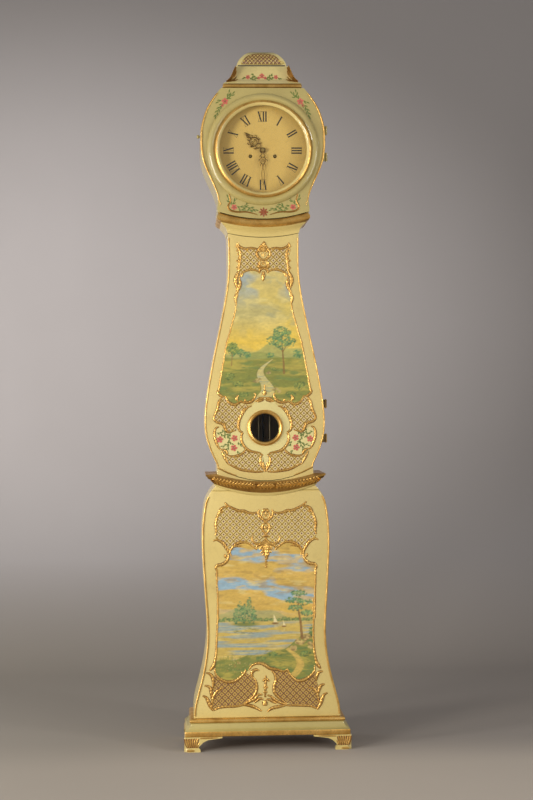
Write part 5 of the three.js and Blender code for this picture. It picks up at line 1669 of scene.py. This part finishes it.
@dataclass
class CaseOrnament:
    """Gilt scrollwork, diaper panels and flowers on the painted fronts."""

    face: float = -76.0
    hood_face: float = -106.0
    bead: float = 2.6

    def trunk_top(self) -> None:
        """The shell cartouche above the upper picture."""
        relief = Scrollwork("trunk_top_scrolls", self.face)
        relief.table(TRUNK_TOP_RIBS)
        relief.table(TRUNK_TOP_AXIS, False)
        relief.fan((0, 1577), 27, 1, 80, 7)
        for foot, head in (((-8, 1573), (-4, 1561)), ((0, 1574), (0, 1559)),
                           ((8, 1573), (4, 1561))):
            relief.rib((0.7, 1.5, 0.9), [foot, head], 4.0)
        relief.flower((0, 1540), 9.0, 6)
        relief.oval((0, 1540), (12.5, 12.5), 2.2)
        path = [(-84, 1601), (-80, 1580), (-75, 1552), (-79, 1514)]
        relief.leaves(path, 11, 9, 2.2, -50)
        relief.leaves(mirrored(path), 11, 9, 2.2, 50)
        path = [(-79, 1512), (-88, 1485), (-83, 1455), (-89, 1425)]
        for way in (path, mirrored(path)):
            relief.leaves(way, 7, 9, 2.3, 34, True)
        relief.finish(Body.TRUNK_DOOR)

    def trunk_frame(self) -> None:
        """The thin mouldings beside the upper picture."""
        relief = Scrollwork("trunk_picture_frame", self.face)
        relief.table(TRUNK_SIDE_RIBS)
        relief.finish(Body.TRUNK_DOOR)

    def belly(self) -> None:
        """The scrolls and pale fields round the trunk's window."""
        relief = Scrollwork("belly_scrolls", self.face)
        relief.table(BELLY_RIBS)
        relief.table(BELLY_AXIS, False)
        relief.dot((0, 1131), 5.2)
        relief.finish(Body.TRUNK_DOOR)
        disc = self._ring([*BELLY_DISC, *reversed(mirrored(BELLY_DISC))])
        for name, outline, proud in (
                ("belly_flower_field_2", BELLY_FLORAL_FIELD, 0.3),
                ("belly_flower_field_0", mirrored(BELLY_FLORAL_FIELD), 0.3),
                ("belly_disc", disc, 0.35)):
            panel = flat_panel(name, outline, self.face, proud)
            settle(panel, Body.TRUNK_DOOR, "pale_cream")

    def _ring(self, outline: Path, hole: float = 50.0, height: float = 1018.0) -> list[Point]:
        """Opens a round hole in an outline, by a slit at its top.

        Args:
            outline: the outline, symmetric about the axis.
            hole: the hole's radius.
            height: the height of its centre.

        Returns:
            One outline that runs round both.
        """
        top = max(range(len(outline)), key=lambda index: outline[index][1])
        count, nudge = 48, 0.01
        turns = [math.tau * k / count for k in range(count + 1)]
        ring = [(hole * math.sin(turn), height + hole * math.cos(turn)) for turn in turns]
        ring[0] = (ring[0][0] - nudge, ring[0][1])
        ring[-1] = (ring[-1][0] + nudge, ring[-1][1])
        return [*outline[top:], *outline[:top], outline[top], *ring]

    def diapers(self) -> None:
        """The diaper panels of both storeys."""
        for name, halves, body in (
                ("trunk_top_diaper", [TRUNK_TOP_DIAPER], Body.TRUNK_DOOR),
                ("belly_diaper", [BELLY_UPPER_DIAPER, BELLY_LOWER_DIAPER], Body.TRUNK_DOOR),
                ("base_top_diaper", [BASE_TOP_DIAPER], Body.CASE)):
            regions = [side for half in halves for side in (half, mirrored(half))]
            Trellis(name, self.face, regions).build(body)
        Trellis("base_foot_diaper", self.face, [BASE_LEFT_DIAPER, BASE_RIGHT_DIAPER], slat=1.6,
                slat_finish="umber", ground_finish="tan").build(Body.CASE)

    def base(self) -> None:
        """The scrolls of the lower case, above and below its picture."""
        relief = Scrollwork("base_top_scrolls", self.face)
        relief.table(BASE_TOP_RIBS)
        relief.table(BASE_TOP_AXIS, False)
        relief.table(BASE_SIDE_RIBS)
        relief.flower((0, 742), 9.5, 5, 90)
        relief.oval((0, 742), (13.0, 14.0), 2.0)
        relief.dot((0, 702), 5.4)
        relief.oval((0, 702), (11.0, 17.0), 1.9)
        relief.fan((0, 652), 34, -1, 78, 7)
        relief.fan((0, 630), 22, -1, 46, 3)
        for height in (602, 594, 586, 578):
            relief.dot((0, height), 3.6)
        relief.finish(Body.CASE)
        foot = Scrollwork("base_foot_scrolls", self.face)
        for rows in (BASE_FOOT_LEFT, BASE_FOOT_RIGHT, BASE_FOOT_AXIS):
            foot.table(rows, False)
        foot.finish(Body.CASE)

    def edges(self) -> None:
        """The gilt beads along the edges of the three storeys; the head's ends in a curl."""
        plain = (self.bead, self.bead, self.bead)
        thin = (self.bead * 0.72,) * 3
        for name, node, face, inset, ends, radii, body in (
                ("trunk", "trunk_door", self.face, 2.6, (868.0, 1620.0), thin, Body.TRUNK_DOOR),
                ("base", "base_front_panel", self.face, 3.6, (108.0, 800.0), plain, Body.CASE),
                ("hood", "hood_door", self.hood_face, 3.0, (1742.0, 2072.0), (1.2, 3.2, 2.4),
                 Body.HOOD_DOOR)):
            run = between([(x - inset, z) for x, z in front_edge(node, face)], *ends)
            if name == "hood":
                x, z = run[0]
                run = [(x - 3, z - 22), (x - 7, z - 17), (x - 2, z - 10), *run]
            beads = Relief(f"{name}_edge_beads", face, 1.0)
            beads.pair(radii, run, 7.0 if name == "hood" else 9.0)
            beads.build(body)

    def waist(self) -> None:
        """The carved band on the waist moulding's top: leaves to both sides along its bow."""
        levels: dict[float, list[float]] = {}
        for corner in frame["nodes"]["waist_moulding_front"].data.vertices:
            x, y, z = (value / MM for value in corner.co)
            if y < -107.0:
                levels.setdefault(round(x, 1), []).append(z)
        middle = [(x, sum(found) / len(found)) for x, found in sorted(levels.items())]
        relief = Relief("waist_carving", 0.0, 0.9, 0.2)
        path = smooth_path([(x, z - 11.0) for x, z in middle], 14.0)
        for (x, z), (x1, z1) in zip(path, path[1:]):
            if abs(x) > 178 or x1 - x < 2.0:
                continue
            slope, flip = (z1 - z) / (x1 - x), 1 if x < 0 else -1
            for up in (-1, 1):
                leaf = [(x - flip * 6.5, z - flip * 6.5 * slope), (x + flip * 1.0, z + up * 3.0),
                        (x + flip * 6.5, z + up * 8.0 + flip * 6.5 * slope),
                        (x + flip * 4.0, z + up * 11.0)]
                relief.rib((1.0, 3.1, 1.2), leaf, 3.2)
            relief.dot((x + flip * 6.0, z + flip * 6.0 * slope), 3.4, 6)
        relief.build(Body.CASE, onto="waist_moulding_front")

    def feet(self) -> None:
        """Gadrooned scrolls on the front feet, with umber painted shade under and between the
        gadroons and a gilt line along each bracket's edge.
        """
        relief = Relief("feet_carving", -106.5, 0.45, 0.2)
        # wide umber strands under the gadroons: painted shade between the ribs
        lining = Relief("feet_carving_lining", -106.5, 0.1, 0.1, 1)
        for head, foot in ((-260.6, -252.5), (-252.8, -247.0), (-244.6, -241.4), (-236.4, -235.4),
                           (-228.4, -229.4), (-221.0, -224.0)):
            path = [(head, 43.0), ((head + foot) / 2 - 2.0, 31.0), (foot, 14.0)]
            relief.pair((2.2, 2.75, 1.2), path, 4.0)
            lining.pair((5.2, 5.6, 3.6), path, 6.0)
        for radii, path in rib_rows((2.2, 2.6, 1.6, -214, 43.5, -198, 44, -180, 44.4, -160, 44.6),
                                    (1.2, 2.2, 1.0, -219.4, 16, -221, 22, -215, 30),
                                    (3.0, 3.8, 2.0, -256, 5.0, -246, 5.4, -232, 5.0)):
            relief.pair(radii, path, 4.0)
        relief.build(Body.CASE)
        lining.build(Body.CASE, Slot.PAINT, "umber")

    def crown(self) -> None:
        """The crest's lattice, a dark painted shadow line under it and the gilt leaves on the
        cove's mitres.
        """
        lattice = pairs(-66, 2175.5, 66, 2175.5, 62, 2186, 56, 2196, 48, 2205, 26, 2211.5, 0, 2213,
                        -26, 2211.5, -48, 2205, -56, 2196, -62, 2186)
        ground = Canvas((-67, 2174), (67, 2214), 1.6)
        ground.wash(np.ones_like(ground.x), (0.68, 0.54, 0.2))
        ground.tint(1.0, (12, 6, 0.55, 5, (0.42, 0.24, 0.22), 0.8))
        ground.build("crest_lattice_ground", lattice, 0.0, Body.CASE, "crest_cap")
        Trellis("crest_lattice", 0.0, [lattice], 9.2, 1.7, 1.1, "crest_cap",
                "umber").build(Body.CASE)
        rim = Relief("crest_lattice_rim", 0.0, 0.8, 0.2)
        edge = smooth_path([*lattice, lattice[0]], 4.0)[:-1]
        rim.strand(edge, [1.2] * len(edge), 0.0, True)
        rim.build(Body.CASE, Slot.GILT, "old_gilt", "crest_cap")
        # A dark ink strand at the cap's foot: painted shadow of the gap between the crest and the
        # cove.
        line = Relief("crest_foot_line", 0.0, 0.6, 0.1, 1)
        line.strand([(x, 2170.0) for x in range(-76, 77, 8)], [2.1] * 20)
        line.build(Body.CASE, Slot.PAINT, "ink", "crest_cap")
        mitres = Relief("cove_mitre_leaves", 0.0, 0.22, 0.5)
        for radii, path in rib_rows(
                (2.0, 4.6, 2.4, 114, 2112, 104, 2119, 97, 2131, 93, 2146, 89, 2163),
                (1.0, 3.2, 0.8, 100, 2124, 92, 2132, 88, 2142, 87, 2152),
                (1.2, 3.4, 0.8, 108, 2112, 96, 2117, 86, 2118, 78, 2123),
                (0.8, 2.6, 0.6, 98, 2116, 88, 2124, 83, 2132)):
            mitres.pair(radii, path, 4.0)
        mitres.build(Body.CASE, Slot.GILT, "carved_gilt", "hood_cove")

    def build(self) -> None:
        """Adds all ornament."""
        for add in (self.trunk_top, self.trunk_frame, self.belly, self.diapers, self.base,
                    self.edges, self.waist, self.feet, self.crown):
            add()


@dataclass
class Sprays:
    """Painted flower sprays: pink blossoms with green leaves."""

    name: str
    face: float
    body: Body
    onto: str = ""
    blooms: Relief = field(init=False)
    eyes: Relief = field(init=False)
    greens: Relief = field(init=False)

    def __post_init__(self) -> None:
        """Starts the three colours."""
        self.blooms = Relief(f"{self.name}_blossoms", self.face, 0.14, 0.35, 1)
        self.eyes = Relief(f"{self.name}_hearts", self.face, 0.3, 0.6, 1)
        self.greens = Relief(f"{self.name}_leaves", self.face, 0.2, 0.3, 0)

    def blossom(self, centre: Point, radius: float, turn: float = 0.0) -> None:
        """Paints one five-petalled flower with its red heart and two buds.

        Args:
            centre: its middle.
            radius: its radius.
            turn: the first petal's angle in degrees.
        """
        x, z = centre
        for petal in range(5):
            line = spoke(centre, radius, math.radians(turn) + math.tau * petal / 5,
                         (0.26, 0.52, 0.82))
            self.blooms.rib((radius * 0.2, radius * 0.36, radius * 0.26), line, radius / 5)
            self.eyes.strand(line[:2], [radius * 0.13, radius * 0.07])
        self.eyes.strand([(x - radius * 0.14, z), (x + radius * 0.14, z)], [radius * 0.2] * 2)

    def sprig(self, path: Path, every: float = 5.0, length: float = 10.5,
              width: float = 2.3) -> None:
        """Paints a stem with leaves on both sides and one at its tip.

        Args:
            path: the stem.
            every: the spacing of its leaves.
            length: a leaf's length.
            width: its width.
        """
        self.greens.rib((0.5, 0.9, 0.4), path, 3.0)
        self.greens.leaves(path, every, length, width, 44, True)
        (x0, z0), (x1, z1) = path[-2:]
        reach = math.dist(path[-2], path[-1])
        tip = (x1 + (x1 - x0) / reach * length, z1 + (z1 - z0) / reach * length)
        self.greens.rib((0.6, width, 0.3), [path[-1], ((x1 + tip[0]) / 2, (z1 + tip[1]) / 2), tip],
                        length / 4)

    def both(self, blossoms: Rows, sprigs: Rows, every: float, length: float,
             width: float = 1.9) -> None:
        """Paints flowers on both sides of the axis.

        Args:
            blossoms: the x, z, radius and turn of each blossom.
            sprigs: the x and z by turns of each sprig's points.
            every: the spacing of their leaves.
            length: a leaf's length.
            width: its width.
        """
        for side in (-1, 1):
            for x, z, radius, turn in blossoms:
                self.blossom((side * x, z), radius, turn)
            for row in sprigs:
                self.sprig([(side * x, z) for x, z in pairs(*row)], every, length, width)

    def build(self) -> None:
        """Finishes the colours."""
        self.blooms.build(self.body, Slot.PAINT, "rose", self.onto)
        self.eyes.build(self.body, Slot.PAINT, "crimson", self.onto)
        self.greens.build(self.body, Slot.PAINT, "leaf_green", self.onto)


def paint_sprays() -> None:
    """Paints every flower spray of the case."""
    belly = Sprays("belly_sprays", -76.4, Body.TRUNK_DOOR)
    belly.both(((143, 982, 12.5, 10), (97, 986, 12.5, 40), (99, 955, 12.5, 70)),
               ((134, 1014, 127, 1002, 117, 992, 112, 976), (152, 1004, 140, 1001, 131, 992),
                (112, 975, 120, 966, 134, 962), (106, 1006, 112, 998),
                (114, 966, 118, 956, 124, 946), (112, 975, 106, 970), (86, 974, 80, 966),
                (88, 946, 82, 938)), 5.5, 9.0, 1.8)
    belly.build()
    hood = Sprays("hood_sprays", -106.0, Body.HOOD_DOOR)
    hood.both(((119, 2047, 12.5, 20), (127, 2034, 5.0, 50)),
              ((114, 2054, 108, 2064, 106, 2074), (112, 2058, 102, 2062, 95, 2070),
               (124, 2040, 134, 2030, 142, 2016, 147, 2002), (130, 2050, 138, 2046)), 6.0, 12.0)
    hood.both(((93, 1714, 11.0, 50),),
              ((84, 1718, 66, 1713, 46, 1713, 26, 1706), (80, 1708, 60, 1703, 40, 1704),
               (64, 1716, 54, 1722, 46, 1726), (100, 1722, 92, 1732, 86, 1738),
               (101, 1720, 108, 1732, 112, 1744)), 7.0, 11.0)
    hood.build()
    cove = Sprays("cove_sprays", 0.0, Body.CASE, "hood_cove")
    cove.blossom((0, 2134), 10.0, 90)
    cove.both(((11, 2127, 6.0, 20), (46, 2130, 8.5, 60)),
              ((12, 2124, 22, 2128, 30, 2136), (40, 2127, 33, 2126, 26, 2122),
               (52, 2128, 58, 2126)), 4.0, 8.0)
    cove.build()
    star = Relief("hood_star_flower", -106.0, 0.3, 0.4)
    star.flower((0, 1698), 15.0, 8, 90)
    star.build(Body.HOOD_DOOR, Slot.GILT, "russet")
    line = Relief("hood_foot_line", -106.0, 0.5, 0.3)
    for side in (-1, 1):
        path = pairs(102, 1772, 107, 1752, 104, 1734, 112, 1716, 104, 1704, 84, 1699, 56, 1699,
                     36, 1695, 20, 1690)
        line.rib((1.2, 3.0, 1.2), [(side * x, z) for x, z in path], 4.0)
    line.build(Body.HOOD_DOOR, Slot.GILT, "carved_gilt")


@dataclass
class Hand:
    """One pierced hand: scrolled strands drawn upwards and turned to the hour it shows."""

    name: str
    body: Body
    turn: float
    face: float
    hub: float
    arbor: tuple[float, float, float]

    def _round(self, radius: float, front: float, back: float) -> Piece:
        """A round bar along y between two depths.

        Args:
            radius: its radius.
            front: the y of its front end.
            back: the y of its back end.

        Returns:
            The bar.
        """
        bpy.ops.mesh.primitive_cylinder_add(
            vertices=28, radius=radius * MM, depth=(back - front) * MM,
            location=(0, (front + back) / 2 * MM, DIAL_HEIGHT * MM),
            rotation=(math.radians(90), 0, 0))
        bar = bpy.context.active_object
        bpy.ops.object.transform_apply(location=True, rotation=True, scale=True)
        return bar

    def build(self, table: Table, single: Table) -> None:
        """Makes the hand.

        Args:
            table: ribs that come in mirrored pairs.
            single: ribs on its middle line.
        """
        relief = Relief(self.name, self.face, 0.42, 0.0)
        for radii, path in table:
            for way in (path, mirrored(path)):
                relief.rib(radii, turned(way, self.turn), 2.0)
        for radii, path in single:
            relief.rib(radii, turned(path, self.turn), 3.0)
        hub = self._round(self.hub, self.face - 0.8, self.face + 0.8)
        stem = self._round(*self.arbor)
        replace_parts(relief.build(self.body, Slot.STEEL, "bronze", "", [hub, stem]),
                    self.body.value)


HOUR_SCROLLS = rib_rows(
    (0.9, 1.8, 0.9, 0, 12, 6, 16, 8, 22, 4, 27, 0, 26),
    (1.0, 2.1, 1.0, 0, 26, 8, 28, 14, 35, 13, 44, 6, 51, 0, 52),
    (0.7, 1.5, 0.7, 1, 31, 6, 33, 8, 39, 5, 43, 2, 40, 4, 37),
    (0.5, 1.6, 0.4, 7, 19, 13, 20, 16, 25),
    (0.5, 1.6, 0.4, 12, 31, 18, 33, 20, 39),
    (0.5, 1.6, 0.4, 13, 42, 18, 46, 17, 53),
    (0.5, 1.4, 0.4, 6, 50, 10, 55, 8, 61),
    (0.8, 1.7, 0.3, 0, 57, 5, 62, 3.5, 69, 0, 81))
HOUR_STEM = rib_rows(
    (2.6, 2.0, 1.6, 0, 7, 0, 16),
    (1.4, 2.2, 1.6, 0, 49, 0, 60),
    (1.2, 2.0, 0.3, 0, 58, 0, 80))
MINUTE_SCROLLS = rib_rows(
    (0.8, 1.5, 0.8, 0, 10, 5, 14, 6, 19, 3, 23, 0, 22),
    (0.8, 1.7, 0.8, 0, 22, 6, 25, 9, 33, 5, 41, 0, 44),
    (0.6, 1.2, 0.5, 1, 27, 4, 30, 5, 35, 2, 37),
    (0.4, 1.3, 0.3, 8, 29, 13, 31, 14, 37),
    (0.4, 1.2, 0.3, 5, 16, 9, 18, 10, 23),
    (0.4, 1.2, 0.3, 4, 43, 8, 47, 7, 52),
    (0.9, 1.2, 0.8, 0, 55, 3.4, 68, 3.2, 88, 0, 116))
MINUTE_STEM = rib_rows(
    (2.4, 1.8, 1.4, 0, 7, 0, 14),
    (1.6, 2.9, 1.4, 0, 43, 0, 57),
    (1.4, 1.2, 0.5, 0, 108, 0, 127))


def make_hands() -> None:
    """Makes both hands at half past ten."""
    Hand("hour_hand_pierced", Body.HOUR, 315.0, -84.7, 9.5, (4.4, -84.7, -57.3)).build(
        HOUR_SCROLLS, HOUR_STEM)
    Hand("minute_hand_pierced", Body.MINUTE, 180.0, -90.1, 8.0, (2.2, -94.4, -51.0)).build(
        MINUTE_SCROLLS, MINUTE_STEM)
    nut = Hand("minute_hand_nut", Body.MINUTE, 0.0, -90.1, 5.0, (5.0, -95.8, -90.9))
    piece = nut._round(*nut.arbor)
    piece.name = nut.name
    settle(piece, Body.MINUTE, "brass")


@dataclass
class DialWork:
    """The figures on the dial."""

    face: float = -80.0
    foot: float = 92.0
    head: float = 124.0

    def _bar(self, panels: list, corners: Path, hour: int) -> None:
        """Adds one stroke of a figure, given across and out along the hour's radius."""
        panels.append(flat_panel("stroke", turned(corners, 30.0 * hour), self.face, 0.25, 0.3))

    def _stroke(self, panels: list, foot: float, head: float, width: float, hour: int) -> None:
        """Adds a slanting stroke between the figure's foot and head."""
        half = width / 2
        self._bar(panels, [(foot - half, self.foot), (foot + half, self.foot),
                           (head + half, self.head), (head - half, self.head)], hour)

    def build(self) -> None:
        """Paints the twelve Roman figures, their feet towards the middle."""
        names = ("I", "II", "III", "IV", "V", "VI", "VII", "VIII", "IX", "X", "XI", "XII")
        widths = {"I": 8.0, "V": 15.0, "X": 15.0}
        thick, thin = 4.3, 0.8
        panels: list[Piece] = []
        for hour, text in enumerate(names, 1):
            left = -sum(widths[letter] for letter in text) / 2
            for letter in text:
                width = widths[letter]
                middle = left + width / 2
                if letter == "I":
                    self._stroke(panels, middle, middle, thick, hour)
                if letter == "V":
                    self._stroke(panels, middle, middle - 5.2, thick, hour)
                    self._stroke(panels, middle, middle + 5.2, thin, hour)
                if letter == "X":
                    self._stroke(panels, middle + 4.8, middle - 4.8, thick, hour)
                    self._stroke(panels, middle - 4.8, middle + 4.8, thin, hour)
                left += width
            half = sum(widths[letter] for letter in text) / 2 - 1.2
            for out in (self.foot, self.head):
                self._bar(panels, [(-half, out - 0.35), (half, out - 0.35), (half, out + 0.35),
                                   (-half, out + 0.35)], hour)
        settle(joined("dial_figures", panels), Body.CASE, "ink")


@dataclass
class Studio:
    """Plain floor and backdrop, soft lamps and the photograph's camera."""

    distance: float = 5.106
    height: float = 1.106
    turn: float = -3.0
    aim: float = -0.11
    roll: float = 0.5
    lens: float = 71.4

    def _backdrop(self) -> None:
        """Makes the floor and the wall behind as one sweep, seen from its front side alone."""
        depth, width, rise, radius = 2.2, 9.0, 7.0, 0.9
        profile = [(-9.0, 0.0), (depth - radius, 0.0)]
        profile += [(depth - radius + radius * math.sin(a), radius - radius * math.cos(a))
                    for a in (math.radians(step) for step in range(10, 91, 10))]
        profile.append((depth, rise))
        points = [(x, y, z) for x in (-width, width) for y, z in profile]
        count = len(profile)
        faces = [(step, step + count, step + 1 + count, step + 1) for step in range(count - 1)]
        sweep = mesh_piece("studio_sweep", points, faces)
        sweep.data.materials.append(self._grey())
        make_active(sweep)
        bpy.ops.object.shade_smooth_by_angle(angle=math.radians(60))

    def _grey(self) -> Material:
        """The backdrop's grey, with painted light: a painted pool of light left on the wall, and
        the floor painted lighter in front and to the right.

        Returns:
            The material.
        """
        graph = Graph("studio_grey")
        across, depth, rise = (graph.node("SeparateXYZ", {}, {0: graph.place()}, out)
                               for out in (0, 1, 2))
        # Painted light: a pool of light on the wall left of the clock, and the floor lighter in
        # front and to the right.
        side, up = (across + 0.85) * 0.45, (rise - 1.5) * 0.72
        pool = graph.band(side * side + up * up, 1.35, -0.25, "SMOOTHSTEP")
        wall = graph.mix(pool, (0.225, 0.206, 0.194), (0.505, 0.468, 0.458))
        right = graph.band(across, -0.9, 0.3, "SMOOTHSTEP")
        back = graph.mix(right, (0.228, 0.2, 0.163), (0.24, 0.21, 0.18))
        front = graph.mix(right, (0.27, 0.234, 0.19), (0.385, 0.332, 0.272))
        floor = graph.mix(graph.band(depth, 0.1, -0.35, "SMOOTHSTEP"), back, front)
        tone = graph.mix(graph.band(rise, 0.0, 0.4), floor, wall)
        mottle = graph.band(graph.cloud(0.9, 3.0), 0.3, 0.7)
        shader = graph.node("BsdfPrincipled", {}, {
            "Base Color": graph.mix(mottle * 0.12, tone, (0.2, 0.18, 0.165)), "Roughness": 0.95})
        behind = graph.node("NewGeometry", {}, {}, "Backfacing")
        clear = graph.node("BsdfTransparent", {}, {})
        return graph.show(graph.node("MixShader", {}, {0: behind, 1: shader, 2: clear}))

    def _lamp(self, name: str, place: Sequence[float], aim: Sequence[float], wide: float,
              tall: float, power: float, colour: Colour) -> None:
        """Adds one soft area lamp.

        Args:
            name: its name.
            place: where it stands.
            aim: where it points.
            wide: its width.
            tall: its height.
            power: its watts.
            colour: its light.
        """
        bpy.ops.object.light_add(type="AREA", location=place)
        lamp = bpy.context.active_object
        lamp.name = name
        lamp.data.shape, lamp.data.size, lamp.data.size_y = "RECTANGLE", wide, tall
        lamp.data.energy, lamp.data.color = power, colour
        lamp.rotation_euler = (Vector(aim) - Vector(place)).to_track_quat("-Z", "Y").to_euler()

    def _camera(self) -> None:
        """Places the level camera, turned and rolled as the photograph's."""
        angle = math.radians(self.turn)
        place = Vector((self.distance * math.sin(angle), -self.distance * math.cos(angle),
                        self.height))
        bpy.ops.object.camera_add(location=place, rotation=(math.radians(90), 0, angle))
        camera = bpy.context.active_object
        camera.data.lens, camera.data.sensor_width, camera.data.sensor_fit = self.lens, 36.0, "AUTO"
        camera.rotation_euler = (math.radians(90), math.radians(self.roll),
                                 angle + math.radians(self.aim))
        bpy.context.scene.camera = camera

    def build(self) -> None:
        """Builds the stage."""
        scene = bpy.context.scene
        scene.view_settings.view_transform = "Standard"
        world = bpy.data.worlds.new("studio_world")
        scene.world = world
        world.use_nodes = True
        tree = world.node_tree
        light = tree.nodes["Background"]
        light.inputs[0].default_value, light.inputs[1].default_value = (0.9, 0.92, 1.0, 1.0), 0.42
        seen = tree.nodes.new("ShaderNodeBackground")
        seen.inputs[0].default_value, seen.inputs[1].default_value = (0.23, 0.207, 0.193, 1.0), 1.0
        rays = tree.nodes.new("ShaderNodeLightPath")
        blend = tree.nodes.new("ShaderNodeMixShader")
        tree.links.new(rays.outputs["Is Camera Ray"], blend.inputs[0])
        tree.links.new(light.outputs[0], blend.inputs[1])
        tree.links.new(seen.outputs[0], blend.inputs[2])
        tree.links.new(blend.outputs[0], tree.nodes["World Output"].inputs["Surface"])
        self._backdrop()
        warm, white = (1.0, 0.96, 0.9), (1.0, 0.99, 0.97)
        self._lamp("key_left", (-2.9, -3.0, 1.5), (0, 0, 0.8), 1.1, 1.1, 96.0, warm)
        self._lamp("fill_right", (3.0, -3.2, 1.5), (0, 0, 0.9), 1.8, 1.8, 38.0, warm)
        self._lamp("rim_left", (-3.0, 0.7, 1.2), (0, -0.05, 1.1), 1.8, 2.4, 26.0, white)
        self._lamp("strip_left", (-2.6, -1.2, 1.1), (0, 0, 1.1), 0.4, 2.0, 50.0, white)
        self._lamp("strip_right", (2.3, -1.8, 1.7), (0, 0, 1.6), 0.1, 1.8, 20.0, white)
        self._camera()


def main() -> None:
    """Builds the clock's looks in order and reports each piece."""
    logging.basicConfig(level=logging.INFO, format="%(message)s")
    Studio().build()
    Joinery().build()
    for word, side in (("left", -1), ("right", 1)):
        GutLine(word, side).build()
    CaseOrnament().build()
    paint_sprays()
    paint_meadow()
    paint_lake()
    DialWork().build()
    make_hands()


if __name__ == "__main__":
    main()
